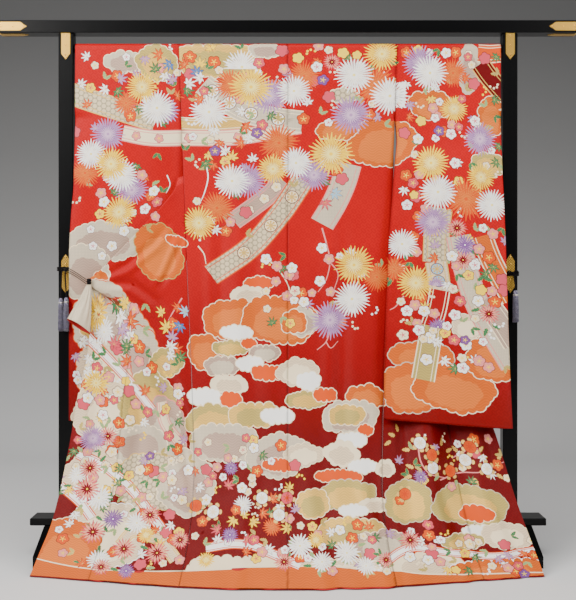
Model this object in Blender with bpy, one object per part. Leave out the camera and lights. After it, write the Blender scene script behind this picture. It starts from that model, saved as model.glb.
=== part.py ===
"""A long-sleeved silk kimono, seen from its back, over the rail of a lacquered kimono stand.

Metres, +Z up. The origin is the middle of the footprint, on the floor. The viewer stands at -Y, so
"ahead" is a distance from the rail towards the viewer, and left and right are the viewer's, which on
a garment seen from its back are the wearer's too.
"""
import math

import bmesh
import bpy
import numpy as np

for old in list(bpy.data.objects):
    bpy.data.objects.remove(old, do_unlink=True)

# Fits and thicknesses
GAP = 0.0003
CLOTH = 0.002
COLLAR = 0.003
PLATE = 0.0012

# Stand
FOOT_HALF = 0.193
FOOT_IN, FOOT_OUT = 0.620, 0.734
FOOT_TOP, FOOT_TIP = 0.090, 0.033
FOOT_FLAT = 0.052
BOARD_HALF, BOARD_DEPTH, BOARD_TOP = 0.779, 0.090, 0.112
POST_X, POST_WIDTH, POST_DEPTH = 0.675, 0.0445, 0.044
BAR_HALF, BAR_DEPTH = 0.8775, 0.054
BAR_LOW, BAR_TOP = 1.582, 1.620
RAIL_R, RAIL_Z = 0.013, 1.539

# Garment
HEM_AHEAD = 0.420
HEM_CORNER_X = 0.715
HEM_BOW = 0.135
HEM_Z = 0.0018
NECK_HALF = 0.100
RIGHT_SEAM_TOP, RIGHT_SEAM_TURN = 1.150, 0.140
LEFT_SEAM_TOP, LEFT_SEAM_TURN = 1.120, 0.075
COLLAR_WIDE = 0.055
WRIST_LOW = 1.320

WRAP_R = RAIL_R + GAP + CLOTH / 2
WRAP = WRAP_R * math.pi / 2
# Forward part of the cloth's own direction outward at the hem
HEM_FACES = 0.766
RAIL_Y = (HEM_AHEAD + CLOTH / 2 * HEM_FACES - FOOT_HALF) / 2

LACQUER = ("lacquer", (0.006, 0.006, 0.008), 0.12, 0.0)
GILT = ("gilt", (0.83, 0.60, 0.20), 0.30, 1.0)
CORD = ("cord", (0.10, 0.09, 0.10), 0.75, 0.0)
TASSEL = ("tassel", (0.16, 0.15, 0.22), 0.70, 0.0)
SILK = ("silk", (0.55, 0.012, 0.016), 0.55, 0.0)


def material(finish):
    name, colour, rough, metal = finish
    found = bpy.data.materials.get(name)
    if found:
        return found
    made = bpy.data.materials.new(name)
    made.use_nodes = True
    shader = made.node_tree.nodes["Principled BSDF"]
    shader.inputs["Base Color"].default_value = (*colour, 1.0)
    shader.inputs["Roughness"].default_value = rough
    shader.inputs["Metallic"].default_value = metal
    made.diffuse_color = (*colour, 1.0)
    return made


def from_bmesh(name, shape, finish):
    bmesh.ops.recalc_face_normals(shape, faces=shape.faces)
    mesh = bpy.data.meshes.new(name)
    shape.to_mesh(mesh)
    shape.free()
    mesh.materials.append(material(finish))
    made = bpy.data.objects.new(name, mesh)
    bpy.context.collection.objects.link(made)
    return made


def block(name, low, high, finish, ease):
    """A squared timber between two corners, with its arrises eased."""
    shape = bmesh.new()
    bmesh.ops.create_cube(shape, size=1.0)
    for v in shape.verts:
        v.co = [l + (h - l) * (c + 0.5) for l, h, c in zip(low, high, v.co)]
    bmesh.ops.bevel(shape, geom=shape.edges[:], offset=ease, segments=1, affect="EDGES")
    return from_bmesh(name, shape, finish)


def prism(name, outline, low, high, place, finish):
    """An outline carried from low to high along the axis that place leaves free."""
    shape = bmesh.new()
    base = [shape.verts.new(place(u, v, low)) for u, v in outline]
    face = shape.faces.new(base)
    out = bmesh.ops.extrude_face_region(shape, geom=[face])
    for v, (a, b) in zip([g for g in out["geom"] if isinstance(g, bmesh.types.BMVert)], outline):
        v.co = place(a, b, high)
    return from_bmesh(name, shape, finish)


# The stand's timbers


def foot(name, side):
    """A block that stands front to back, level at the middle and falling to its tips."""
    profile = [
        (-FOOT_HALF, 0.0),
        (FOOT_HALF, 0.0),
        (FOOT_HALF, FOOT_TIP),
        (FOOT_FLAT, FOOT_TOP),
        (-FOOT_FLAT, FOOT_TOP),
        (-FOOT_HALF, FOOT_TIP),
    ]

    def place(along, up, across):
        return (side * across, RAIL_Y + along, up)

    return prism(name, profile, FOOT_IN, FOOT_OUT, place, LACQUER)


def turned_rod(name, start, end, radius, sides, finish):
    shape = bmesh.new()
    bmesh.ops.create_cone(
        shape, cap_ends=True, segments=sides, radius1=radius, radius2=radius, depth=abs(end - start)
    )
    for v in shape.verts:
        x, y, z = v.co
        v.co = ((start + end) / 2 + z, RAIL_Y + x, RAIL_Z + y)
    return from_bmesh(name, shape, finish)


def stand():
    bar_y = BAR_DEPTH / 2
    block(
        "top_bar",
        (-BAR_HALF, RAIL_Y - bar_y, BAR_LOW),
        (BAR_HALF, RAIL_Y + bar_y, BAR_TOP),
        LACQUER,
        0.002,
    )
    block(
        "lower_board",
        (-BOARD_HALF, RAIL_Y - BOARD_DEPTH / 2, FOOT_TOP + GAP),
        (BOARD_HALF, RAIL_Y + BOARD_DEPTH / 2, BOARD_TOP),
        LACQUER,
        0.002,
    )
    for side, word in ((-1, "left"), (1, "right")):
        middle = side * POST_X
        block(
            f"post_{word}",
            (middle - POST_WIDTH / 2, RAIL_Y - POST_DEPTH / 2, BOARD_TOP + GAP),
            (middle + POST_WIDTH / 2, RAIL_Y + POST_DEPTH / 2, BAR_LOW - GAP),
            LACQUER,
            0.002,
        )
        foot(f"foot_{word}", side)
    reach = POST_X - POST_WIDTH / 2 - GAP
    turned_rod("hanging_rail", -reach, reach, RAIL_R, 20, LACQUER)


# The gilt fittings: thin plates with pointed ends

BAR_PLATE_LONG, BAR_PLATE_HIGH, BAR_PLATE_POINT = 0.085, 0.026, 0.020
TOP_PLATE_WIDE, TOP_PLATE_LOW, TOP_PLATE_POINT = 0.027, 1.501, 0.018
MID_PLATE_WIDE, MID_PLATE_LOW, MID_PLATE_TOP, MID_PLATE_POINT = 0.026, 0.791, 0.910, 0.020


def plate_outline(low, high, half, point_low, point_high):
    """A strip along its length from low to high, with a pointed and shouldered end where asked."""
    edge = []
    if point_low:
        edge += [(-half, low + point_low), (-half * 0.55, low + point_low * 0.55), (0.0, low)]
        edge += [(half * 0.55, low + point_low * 0.55), (half, low + point_low)]
    else:
        edge += [(-half, low), (half, low)]
    if point_high:
        edge += [(half, high - point_high), (half * 0.55, high - point_high * 0.55), (0.0, high)]
        edge += [(-half * 0.55, high - point_high * 0.55), (-half, high - point_high)]
    else:
        edge += [(half, high), (-half, high)]
    return edge


def plates():
    bar_face = BAR_DEPTH / 2 + GAP
    post_face = POST_DEPTH / 2 + GAP
    bar_mid = (BAR_LOW + BAR_TOP) / 2
    for side, word in ((-1, "left"), (1, "right")):
        along_bar = plate_outline(
            BAR_HALF - BAR_PLATE_LONG, BAR_HALF - GAP, BAR_PLATE_HIGH / 2, BAR_PLATE_POINT, 0.0
        )
        for face, where in ((-1, "front"), (1, "back")):

            def on_bar(across, along, out, face=face):
                return (side * along, RAIL_Y + face * out, bar_mid + across)

            prism(
                f"bar_plate_{word}_{where}", along_bar, bar_face, bar_face + PLATE, on_bar, GILT
            )

            def on_post(across, up, out, face=face):
                return (side * POST_X + across, RAIL_Y + face * out, up)

            top = plate_outline(
                TOP_PLATE_LOW, BAR_LOW - 2 * GAP, TOP_PLATE_WIDE / 2, TOP_PLATE_POINT, 0.0
            )
            prism(f"post_top_plate_{word}_{where}", top, post_face, post_face + PLATE, on_post, GILT)
            mid = plate_outline(
                MID_PLATE_LOW,
                MID_PLATE_TOP,
                MID_PLATE_WIDE / 2,
                MID_PLATE_POINT,
                MID_PLATE_POINT,
            )
            prism(f"post_mid_plate_{word}_{where}", mid, post_face, post_face + PLATE, on_post, GILT)

        def under_bar(across, along, down):
            return (side * along, RAIL_Y + across, BAR_LOW - GAP - down)

        prism(f"bar_plate_{word}_under", along_bar, 0.0, PLATE, under_bar, GILT)


# Smooth courses through short tables


def table(names, *rows):
    return dict(zip(names.split(), np.array(rows, float).T))


def smooth(at, keys, values):
    """A curve through a table's points that never swings past them."""
    order = np.argsort(keys)
    x, y = np.asarray(keys)[order], np.asarray(values)[order]
    at = np.clip(at, x[0], x[-1])
    rise = np.diff(y) / np.diff(x)
    slope = np.zeros_like(y)
    both = rise[:-1] * rise[1:] > 0
    slope[1:-1][both] = 2 * rise[:-1][both] * rise[1:][both] / (rise[:-1] + rise[1:])[both]
    slope[0], slope[-1] = rise[0], rise[-1]
    i = np.clip(np.searchsorted(x, at, side="right") - 1, 0, len(x) - 2)
    span = x[i + 1] - x[i]
    t = (at - x[i]) / span
    return (
        y[i] * (1 + 2 * t) * (1 - t) ** 2
        + y[i + 1] * t * t * (3 - 2 * t)
        + span * (slope[i] * t * (1 - t) ** 2 - slope[i + 1] * t * t * (1 - t))
    )


def ease(value, low, high):
    t = np.clip((value - low) / (high - low), 0.0, 1.0)
    return t * t * (3 - 2 * t)


def over_rail(drop, radius):
    """Distance from the rail's plane, and height, of cloth that hangs drop below its top."""
    quarter = radius * math.pi / 2
    turn = np.clip(drop / radius, 0.0, math.pi / 2)
    height = RAIL_Z + radius * np.cos(turn) - np.maximum(drop - quarter, 0.0)
    return radius * np.sin(turn), height


# Back: how far ahead of the rail it hangs, and how wide each half is, at each height
BACK = table(
    "height ahead half_width",
    (RAIL_Z, WRAP_R, 0.3320),
    (1.250, 0.019, 0.3220),
    (0.900, 0.035, 0.3070),
    (0.600, 0.075, 0.2900),
    (0.380, 0.140, 0.2770),
    (0.200, 0.235, 0.2700),
    (0.080, 0.335, 0.2800),
    (HEM_Z, HEM_AHEAD, 0.2930),
)

# The long fold that falls from the tie across the left front and into the back
LONG_FOLD = table(
    "x height depth",
    (-0.490, 0.740, 0.0),
    (-0.437, 0.640, 0.008),
    (-0.365, 0.460, 0.014),
    (-0.290, 0.270, 0.013),
    (-0.220, 0.185, 0.009),
    (-0.135, 0.160, 0.0),
)
FOLD_WIDE = 0.034


def long_fold(x, height):
    """Forward ridge and trough beside the long fold, at points of the front view."""
    fx, fz = LONG_FOLD["x"], LONG_FOLD["height"]
    best = np.full(np.shape(x), 1e9)
    side = np.zeros(np.shape(x))
    depth = np.zeros(np.shape(x))
    for k in range(len(fx) - 1):
        dx, dz = fx[k + 1] - fx[k], fz[k + 1] - fz[k]
        long = math.hypot(dx, dz)
        t = np.clip(((x - fx[k]) * dx + (height - fz[k]) * dz) / long**2, 0, 1)
        off_x, off_z = x - fx[k] - t * dx, height - fz[k] - t * dz
        gap = np.hypot(off_x, off_z)
        near = gap < best
        best = np.where(near, gap, best)
        side = np.where(near, (off_x * dz - off_z * dx) / long, side)
        here = LONG_FOLD["depth"][k] + t * (LONG_FOLD["depth"][k + 1] - LONG_FOLD["depth"][k])
        depth = np.where(near, here, depth)
    reach = side / FOLD_WIDE
    return depth * np.exp(-best * best / FOLD_WIDE**2 / 2) * (1.6 * np.sin(reach * 1.6) - 0.2)


def back_ahead(x, height):
    bow = HEM_BOW * (x / HEM_CORNER_X) ** 2 * (1 - ease(height, 0.0, 0.40))
    return smooth(height, BACK["height"], BACK["ahead"]) - bow + long_fold(x, height)


def points(x, ahead, height):
    x, ahead, height = np.broadcast_arrays(x, ahead, height)
    return np.stack([x, RAIL_Y - ahead, height], axis=-1)


def back_surface(drop, across):
    """across runs from -1 at the left side seam to 1 at the right one."""
    wrap, height = over_rail(drop, WRAP_R)
    height = np.maximum(height, HEM_Z)
    x = across * smooth(height, BACK["height"], BACK["half_width"])
    hang = back_ahead(x, height)
    return points(x, np.where(drop < WRAP, wrap, hang), height)


def side_seam(side, height, lean=0.0, inward=0.0):
    """The back's side edge. The front is sewn to it below the slit and is on the far side above.

    lean and inward are how far the front's own direction there points away from the viewer and in
    behind the back, from 0 to 1, which set its clearance.
    """
    x = side * smooth(height, BACK["height"], BACK["half_width"])
    sewn = back_ahead(x, height)
    if side > 0:
        away = ease(height, RIGHT_SEAM_TOP, RIGHT_SEAM_TOP + RIGHT_SEAM_TURN)
    else:
        away = ease(height, LEFT_SEAM_TOP, LEFT_SEAM_TOP + LEFT_SEAM_TURN)
    clear = side * (GAP + CLOTH / 2 * (np.abs(lean) + 1.5 * inward)) * (1 - away)
    return points(x + clear, sewn * (1 - away) - WRAP_R * away, height)


# Right front: the free edge, behind the rail above and fanned out to the hem's corner below
RIGHT_EDGE = table(
    "height x behind",
    (RAIL_Z, 0.100, WRAP_R),
    (1.400, 0.130, 0.050),
    (1.170, 0.240, 0.120),
    (1.000, 0.360, 0.120),
    (0.780, 0.470, 0.060),
    (0.600, 0.540, 0.000),
    (0.380, 0.612, -0.103),
    (0.200, 0.655, -0.190),
    (HEM_Z, 0.715, -0.285),
)
RIGHT_PLEATS = 2
PLEAT_MOST = 0.029
# The cloth's real width, side seam to free edge
FRONT_WIDTH = table(
    "height cloth", (RAIL_Z, 0.232), (1.170, 0.270), (1.000, 0.340), (0.600, 0.390), (HEM_Z, 0.420)
)


def right_front_surface(drop, across):
    """across runs from 0 at the side seam to 1 at the free edge."""
    wrap, height = over_rail(drop, WRAP_R)
    height = np.maximum(height, HEM_Z)
    start = side_seam(1, height)
    edge = points(
        smooth(height, RIGHT_EDGE["height"], RIGHT_EDGE["x"]),
        -smooth(height, RIGHT_EDGE["height"], RIGHT_EDGE["behind"]),
        height,
    )
    chord = edge - start
    long = np.linalg.norm(chord[..., :2], axis=-1)
    inward = np.maximum(-chord[..., 0] / long, 0.0)
    start = side_seam(1, height, chord[..., 1] / long, inward)
    chord = edge - start
    long = np.linalg.norm(chord[..., :2], axis=-1)
    cloth = smooth(height, FRONT_WIDTH["height"], FRONT_WIDTH["cloth"])
    slack = np.sqrt(np.maximum(cloth / long - 1.0, 0.0))
    deep = np.minimum(slack * long / (math.pi * RIGHT_PLEATS), PLEAT_MOST)
    deep = deep * (1 - ease(height, 1.02, 1.15)) * ease(height, 0.0, 0.15)
    calm = ease(across, 0.07, 0.25) * (1 - ease(across, 0.75, 0.93))
    wave = deep * np.sin(2 * math.pi * RIGHT_PLEATS * across) * calm
    normal = np.stack([-chord[..., 1], chord[..., 0], 0 * long], axis=-1) / long[..., None]
    place = start + chord * np.asarray(across)[..., None] + normal * wave[..., None]
    on_rail = points(start[..., 0] + chord[..., 0] * across, -wrap, height)
    return np.where(np.asarray(drop < WRAP)[..., None], on_rail, place)


# Left front: from the side seam the cloth runs out to the pull line, turns under there and runs
# back to its free edge. turned is 1 where it is turned under and 0 where it lies open.
LEFT_FRONT = table(
    "height pull_x pull_ahead pull_height edge_x edge_ahead edge_height turned",
    (RAIL_Z, -0.224, -0.0143, 1.539, -0.100, -0.0143, 1.539, 0),
    (1.400, -0.224, -0.017, 1.400, -0.100, -0.019, 1.400, 0),
    (1.260, -0.220, -0.012, 1.260, -0.100, -0.022, 1.260, 0),
    (1.185, -0.216, -0.006, 1.185, -0.100, -0.024, 1.185, 0),
    (1.145, -0.333, 0.014, 1.142, -0.112, -0.022, 1.130, 1),
    (1.120, -0.337, 0.0315, 1.115, -0.120, -0.020, 1.100, 1),
    (1.040, -0.376, 0.042, 1.056, -0.160, -0.012, 1.000, 1),
    (0.960, -0.437, 0.0525, 0.990, -0.240, 0.012, 0.920, 1),
    (0.880, -0.503, 0.064, 0.918, -0.360, 0.042, 0.870, 1),
    (0.800, -0.567, 0.075, 0.850, -0.490, 0.060, 0.810, 1),
    (0.745, -0.594, 0.080, 0.822, -0.588, 0.070, 0.815, 1),
    (0.660, -0.449, 0.084, 0.670, -0.587, 0.102, 0.680, 0),
    (0.480, -0.465, 0.118, 0.479, -0.619, 0.130, 0.478, 0),
    (0.328, -0.465, 0.165, 0.328, -0.639, 0.165, 0.328, 0),
    (0.149, -0.485, 0.240, 0.149, -0.669, 0.225, 0.149, 0),
    (0.058, -0.505, 0.290, 0.058, -0.700, 0.260, 0.058, 0),
    (HEM_Z, -0.520, 0.320, HEM_Z, -0.720, 0.285, HEM_Z, 0),
)
TURN_R = 0.004
# Columns of the left front: out to the pull line, round the turn, and back to the free edge
OUT_COLUMNS, TURN_COLUMNS, LEFT_COLUMNS = 8, 3, 15


def left_front_surface(drop, column):
    """column runs from 0 at the side seam to LEFT_COLUMNS at the free edge."""
    wrap, height = over_rail(drop, WRAP_R)
    height = np.maximum(height, HEM_Z)

    def course(name):
        return smooth(height, LEFT_FRONT["height"], LEFT_FRONT[name])

    start = side_seam(-1, height, 0.25)
    edge = points(course("edge_x"), course("edge_ahead"), course("edge_height"))
    pull = points(course("pull_x"), course("pull_ahead"), course("pull_height"))
    turned = course("turned")[..., None]
    column = np.asarray(column, float)[..., None]
    share = column / LEFT_COLUMNS
    flat = start + (edge - start) * share
    flat[..., 1] -= long_fold(flat[..., 0], flat[..., 2]) * ease(share[..., 0], 0.0, 0.08)

    out = pull - start
    out = out / np.linalg.norm(out, axis=-1, keepdims=True)
    rear = np.array([0.0, 1.0, 0.0])
    bend = np.clip((column - OUT_COLUMNS) / TURN_COLUMNS, 0.0, 1.0) * math.pi
    to_pull = start + (pull - start) * np.clip(column / OUT_COLUMNS, 0.0, 1.0)
    round_it = pull + rear * TURN_R * (1 - np.cos(bend)) + out * TURN_R * np.sin(bend)
    back_from = pull + rear * TURN_R * 2
    home = np.clip(
        (column - OUT_COLUMNS - TURN_COLUMNS) / (LEFT_COLUMNS - OUT_COLUMNS - TURN_COLUMNS), 0, 1
    )
    to_edge = back_from + (edge - back_from) * home
    hairpin = np.where(column <= OUT_COLUMNS, to_pull, round_it)
    hairpin = np.where(column >= OUT_COLUMNS + TURN_COLUMNS, to_edge, hairpin)
    place = flat * (1 - turned) + hairpin * turned
    on_rail = points(start[..., 0] + (edge - start)[..., 0] * share[..., 0], -wrap, height)
    return np.where(np.asarray(drop < WRAP)[..., None], on_rail, place)


# Sleeves: each is a flat bag over the rail, a near layer and a far one
SLEEVE_RIGHT = table(
    "height past_side outer ahead_in ahead_out half_gap",
    (RAIL_Z, 0.0005, 0.6480, 0.000, 0.000, WRAP_R),
    (1.450, 0.0005, 0.6480, 0.003, 0.003, 0.0120),
    (1.330, 0.0010, 0.6480, 0.011, 0.010, 0.0095),
    (1.250, 0.0080, 0.6480, 0.020, 0.020, 0.0085),
    (1.170, 0.0028, 0.6480, 0.036, 0.036, 0.0070),
    (1.100, 0.0000, 0.6500, 0.042, 0.043, 0.0065),
    (0.900, -0.0070, 0.6540, 0.058, 0.062, 0.0060),
    (0.600, -0.0040, 0.6545, 0.100, 0.105, 0.0055),
    (0.380, 0.0010, 0.6535, 0.160, 0.158, 0.0050),
)
SLEEVE_LEFT = table(
    "height past_side outer ahead_in ahead_out half_gap",
    (RAIL_Z, 0.0005, 0.6480, 0.000, 0.000, WRAP_R),
    (1.450, 0.0005, 0.6480, 0.000, 0.004, 0.0120),
    (1.330, 0.0010, 0.6480, 0.000, 0.010, 0.0095),
    (1.250, 0.0070, 0.6480, 0.000, 0.020, 0.0085),
    (1.130, 0.0280, 0.6480, 0.004, 0.035, 0.0060),
    (1.020, 0.0290, 0.6560, 0.009, 0.038, 0.0050),
    (0.900, 0.0330, 0.6610, 0.014, 0.040, 0.0045),
    (0.600, 0.0500, 0.6610, 0.030, 0.043, 0.0045),
    (0.380, 0.0630, 0.6610, 0.055, 0.046, 0.0050),
)
SLEEVE_LOW = {1: (0.428, 0.398), -1: (0.412, 0.408)}
SLEEVE_EDGE_GAP = 0.0026
SLEEVE_SEAM_OUT = 0.0022
SLEEVE_COLUMNS = 7
WRAP_ROWS = 4


def sleeve_layer(side, fall, across, face):
    """A layer of a sleeve: fall from 0 at the rail to 1 at the lower fold, face 1 near, -1 far."""
    shape = SLEEVE_RIGHT if side > 0 else SLEEVE_LEFT
    inner_low, outer_low = SLEEVE_LOW[side]
    low = inner_low + (outer_low - inner_low) * across
    height = RAIL_Z - fall * (RAIL_Z - low)

    def course(name):
        return smooth(height, shape["height"], shape[name])

    inner = course("past_side") + smooth(height, BACK["height"], BACK["half_width"])
    x = inner + (course("outer") - inner) * across
    middle = course("ahead_in") + (course("ahead_out") - course("ahead_in")) * across
    sewn = 1 - ease(height, WRIST_LOW, WRIST_LOW + 0.03)
    nip = sewn * np.asarray(across) ** 6
    half = course("half_gap") * (1 - nip) + SLEEVE_EDGE_GAP * nip
    return points(side * x, middle + face * half, height)


def face_normals(place, faces):
    """A direction outward at each point, from the faces that meet there."""
    normal = np.zeros_like(place)
    for face in faces:
        for k, v in enumerate(face):
            before, after = place[face[k - 1]], place[face[(k + 1) % len(face)]]
            normal[v] += np.cross(after - place[v], before - place[v])
    return normal / np.linalg.norm(normal, axis=1, keepdims=True)


def cloth_solid(name, place, faces, thick, finish, normal=None):
    """A closed wall about a middle surface, with rims along its open edges."""
    place = np.asarray(place, float)
    if normal is None:
        normal = face_normals(place, faces)
    count = len(place)
    walls = np.concatenate([place + normal * thick / 2, place - normal * thick / 2])
    shell = [tuple(f) for f in faces] + [tuple(v + count for v in reversed(f)) for f in faces]
    edges = {}
    for face in faces:
        for k, v in enumerate(face):
            edges[(v, face[(k + 1) % len(face)])] = True
    for a, b in edges:
        if (b, a) not in edges:
            shell.append((b, a, a + count, b + count))
    shape = bmesh.new()
    verts = [shape.verts.new(p) for p in walls]
    for face in shell:
        shape.faces.new([verts[v] for v in face])
    bmesh.ops.triangulate(shape, faces=shape.faces[:])
    if shape.calc_volume(signed=True) < 0:
        bmesh.ops.reverse_faces(shape, faces=shape.faces[:])
    mesh = bpy.data.meshes.new(name)
    shape.to_mesh(mesh)
    shape.free()
    mesh.materials.append(material(finish))
    made = bpy.data.objects.new(name, mesh)
    bpy.context.collection.objects.link(made)
    return made


def sampled(surface, drop, across, across_step):
    """Points of a surface at a grid of places, with the whole surface's own normals there."""
    top, low = GAP / 2, WRAP + RAIL_Z - HEM_Z

    def change(step_drop, step_across):
        after = surface(np.clip(drop + step_drop, top, low), across + step_across)
        before = surface(np.clip(drop - step_drop, top, low), across - step_across)
        return after - before

    normal = np.cross(change(0.0, across_step), change(0.001, 0.0))
    normal /= np.linalg.norm(normal, axis=-1, keepdims=True)
    return surface(drop, across), normal


def grid_faces(rows, columns, start=0):
    return [
        (
            start + i * columns + j,
            start + (i + 1) * columns + j,
            start + (i + 1) * columns + j + 1,
            start + i * columns + j + 1,
        )
        for i in range(rows - 1)
        for j in range(columns - 1)
    ]


def sheet(name, surface, drop, across, across_step=0.001):
    """A panel: rows of drops, each at its own row of places across."""
    drop, across = np.broadcast_arrays(np.asarray(drop)[:, None], across)
    place, normal = sampled(surface, drop, across, across_step)
    faces = grid_faces(*drop.shape)
    return cloth_solid(name, place.reshape(-1, 3), faces, CLOTH, SILK, normal.reshape(-1, 3))


def drops(first, heights):
    """Rows from the top of the rail, round it in four steps, and down through the heights."""
    round_it = [first] + [WRAP * k / 4 for k in (1, 2, 3, 4)]
    return np.array(round_it + [WRAP + RAIL_Z - h for h in heights])


BACK_HEIGHTS = [1.47, 1.40, 1.33, 1.25, 1.18, 1.12, 1.06, 1.0, 0.93, 0.86, 0.78, 0.70, 0.62, 0.54]
BACK_HEIGHTS += [0.46, 0.39, 0.33, 0.27, 0.21, 0.16, 0.11, 0.07, 0.035, HEM_Z]
OKUMI_TIP = 1.25
FRONT_BODY = 0.245
BACK_COLUMNS, RIGHT_BODY_COLUMNS, RIGHT_OKUMI_COLUMNS = 7, 12, 6


def backs():
    rows = drops(GAP / 2, BACK_HEIGHTS)
    seam = GAP / 2 / 0.30
    sheet("back_left", back_surface, rows, np.linspace(-1.0, -seam, BACK_COLUMNS))
    sheet("back_right", back_surface, rows, np.linspace(seam, 1.0, BACK_COLUMNS))


def okumi_seam(drop):
    """Share of the right front's width that the body width takes, from the overlap's tip down."""
    height = RAIL_Z + WRAP - drop
    wide = smooth(height, FRONT_WIDTH["height"], FRONT_WIDTH["cloth"])
    seam = FRONT_BODY / np.maximum(wide, FRONT_BODY)
    blend = 1 - ease(height, OKUMI_TIP - 0.25, OKUMI_TIP)
    return 0.985 + (seam - 0.985) * blend


def right_front():
    lower = WRAP + RAIL_Z - np.array([h for h in BACK_HEIGHTS if h <= OKUMI_TIP])
    upper = drops(GAP / 2, [h for h in BACK_HEIGHTS if h > OKUMI_TIP])
    upper = np.append(upper, lower[0] - 2 * GAP)
    half = GAP / 2 / 0.30
    ends = np.append(np.ones(len(upper)), okumi_seam(lower) - half)
    shares = np.linspace(0.0, 1.0, RIGHT_BODY_COLUMNS)
    rows = np.append(upper, lower)
    sheet("front_right", right_front_surface, rows, ends[:, None] * shares)
    begins = okumi_seam(lower)[:, None] + half
    shares = np.linspace(0.0, 1.0, RIGHT_OKUMI_COLUMNS)
    sheet("okumi_right", right_front_surface, lower, begins + (1.0 - begins) * shares)


LEFT_UPPER = [1.47, 1.40, 1.33, 1.26, 1.185, 1.145, 1.120]
LEFT_LOWER = [1.120, 1.080, 1.040, 1.0, 0.960, 0.920, 0.880, 0.840, 0.800, 0.772, 0.745, 0.715, 0.685]
LEFT_LOWER += [0.650, 0.60, 0.54, 0.48, 0.42, 0.37, 0.32, 0.27, 0.22, 0.17, 0.12, 0.075, 0.035, HEM_Z]
LEFT_SEAM = 9.0


def left_seam(drop, way):
    """Columns at which the body width ends, way -1, or the overlap begins, way 1, in each row."""
    step = np.full(len(drop), 0.05)
    span = left_front_surface(drop, LEFT_SEAM + step) - left_front_surface(drop, LEFT_SEAM - step)
    wide = np.linalg.norm(span, axis=-1) / (2 * step)
    return (LEFT_SEAM + way * 0.6 * GAP / wide)[:, None]


def left_front():
    """The body width carries the whole front above the pull, and its own width below."""
    upper = drops(GAP / 2, LEFT_UPPER)
    lower = WRAP + RAIL_Z - np.array(LEFT_LOWER)

    def out_to_seam(drop):
        return np.hstack([np.tile(np.arange(LEFT_SEAM), (len(drop), 1)), left_seam(drop, -1)])

    def beyond_seam(drop):
        return np.tile(np.arange(LEFT_SEAM + 1, LEFT_COLUMNS + 1), (len(drop), 1))

    wide = np.hstack([out_to_seam(upper), beyond_seam(upper)])
    wide = np.repeat(upper[:, None], wide.shape[1], axis=1), wide
    narrow = out_to_seam(lower)
    narrow = np.repeat(lower[:, None], narrow.shape[1], axis=1), narrow
    top, top_normal = sampled(left_front_surface, *wide, 0.01)
    low, low_normal = sampled(left_front_surface, *narrow, 0.01)
    place = np.concatenate([top.reshape(-1, 3), low[1:].reshape(-1, 3)])
    normal = np.concatenate([top_normal.reshape(-1, 3), low_normal[1:].reshape(-1, 3)])
    faces = grid_faces(*top.shape[:2])
    last = (len(upper) - 1) * top.shape[1]
    first = len(upper) * top.shape[1]
    for j in range(low.shape[1] - 1):
        faces.append((last + j, first + j, first + j + 1, last + j + 1))
    faces += grid_faces(len(lower) - 1, low.shape[1], first)
    cloth_solid("front_left", place, faces, CLOTH, SILK, normal)
    lower[0] += 3 * GAP
    overlap = np.hstack([left_seam(lower, 1), beyond_seam(lower)])
    sheet("okumi_left", left_front_surface, lower, overlap, 0.01)


def sleeve(word, side):
    """Two layers that meet over the rail and along the lower fold.

    Below the wrist each turns in at the outer edge, where the seam closes the bag.
    """
    across = np.linspace(0.0, 1.0, SLEEVE_COLUMNS)
    fall = [0.0, 0.04, 0.08, 0.12, 0.16, (RAIL_Z - WRIST_LOW) / (RAIL_Z - 0.40)]
    wrist = len(fall) - 1
    fall += list(np.linspace(fall[-1], 1.0, 14)[1:])
    f, a = np.meshgrid(np.array(fall), across, indexing="ij")
    for face, layer in ((1, "near"), (-1, "far")):
        hang, other = sleeve_layer(side, f, a, face), sleeve_layer(side, f, a, -face)
        apart = np.array([0.0, -face * GAP / 2, 0.0])
        rows = []
        for k in range(WRAP_ROWS):
            wrap, height = over_rail(WRAP * k / WRAP_ROWS, WRAP_R)
            rows.append(points(hang[0, :, 0], face * wrap, height))
        rows += list(hang)
        middle, half = (hang[-1] + other[-1]) / 2, (other[-1] - hang[-1]) / 2
        down = np.array([0.0, 0.0, -1.0]) * np.linalg.norm(half, axis=-1, keepdims=True)
        for turn in (math.pi / 4, math.pi / 2):
            rows.append(middle - half * math.cos(turn) + down * math.sin(turn))
        rows[0] = rows[0] + apart
        rows[-1] = rows[-1] + apart
        place = list(np.array(rows).reshape(-1, 3))
        faces = grid_faces(len(rows), SLEEVE_COLUMNS)
        low_row = WRAP_ROWS + len(fall) - 1

        def outer(row):
            return (row + 1) * SLEEVE_COLUMNS - 1

        seam = {}
        for row in range(WRAP_ROWS + wrist, low_row + 1):
            k = row - WRAP_ROWS
            seam[row] = len(place)
            centre = (hang[k, -1] + other[k, -1]) / 2
            place.append(centre + apart + np.array([side * SLEEVE_SEAM_OUT, 0.0, 0.0]))
        for row in range(WRAP_ROWS + wrist, low_row):
            faces.append((outer(row), outer(row + 1), seam[row + 1], seam[row]))
        for row in (low_row, low_row + 1):
            faces.append((outer(row), outer(row + 1), seam[low_row]))
        place = np.array(place)
        normal = face_normals(place, faces)
        for ends in (slice(0, SLEEVE_COLUMNS), slice(outer(low_row + 1) + 1, outer(low_row + 2) + 1)):
            normal[ends] = np.sign(normal[ends, 2:]) * np.array([0.0, 0.0, 1.0])
        beyond = slice(outer(low_row + 2) + 1, len(place))
        normal[beyond] = np.sign(normal[beyond, :1]) * np.array([1.0, 0.0, 0.0])
        cloth_solid(f"sleeve_{word}_{layer}", place, faces, CLOTH, SILK, normal)


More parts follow.
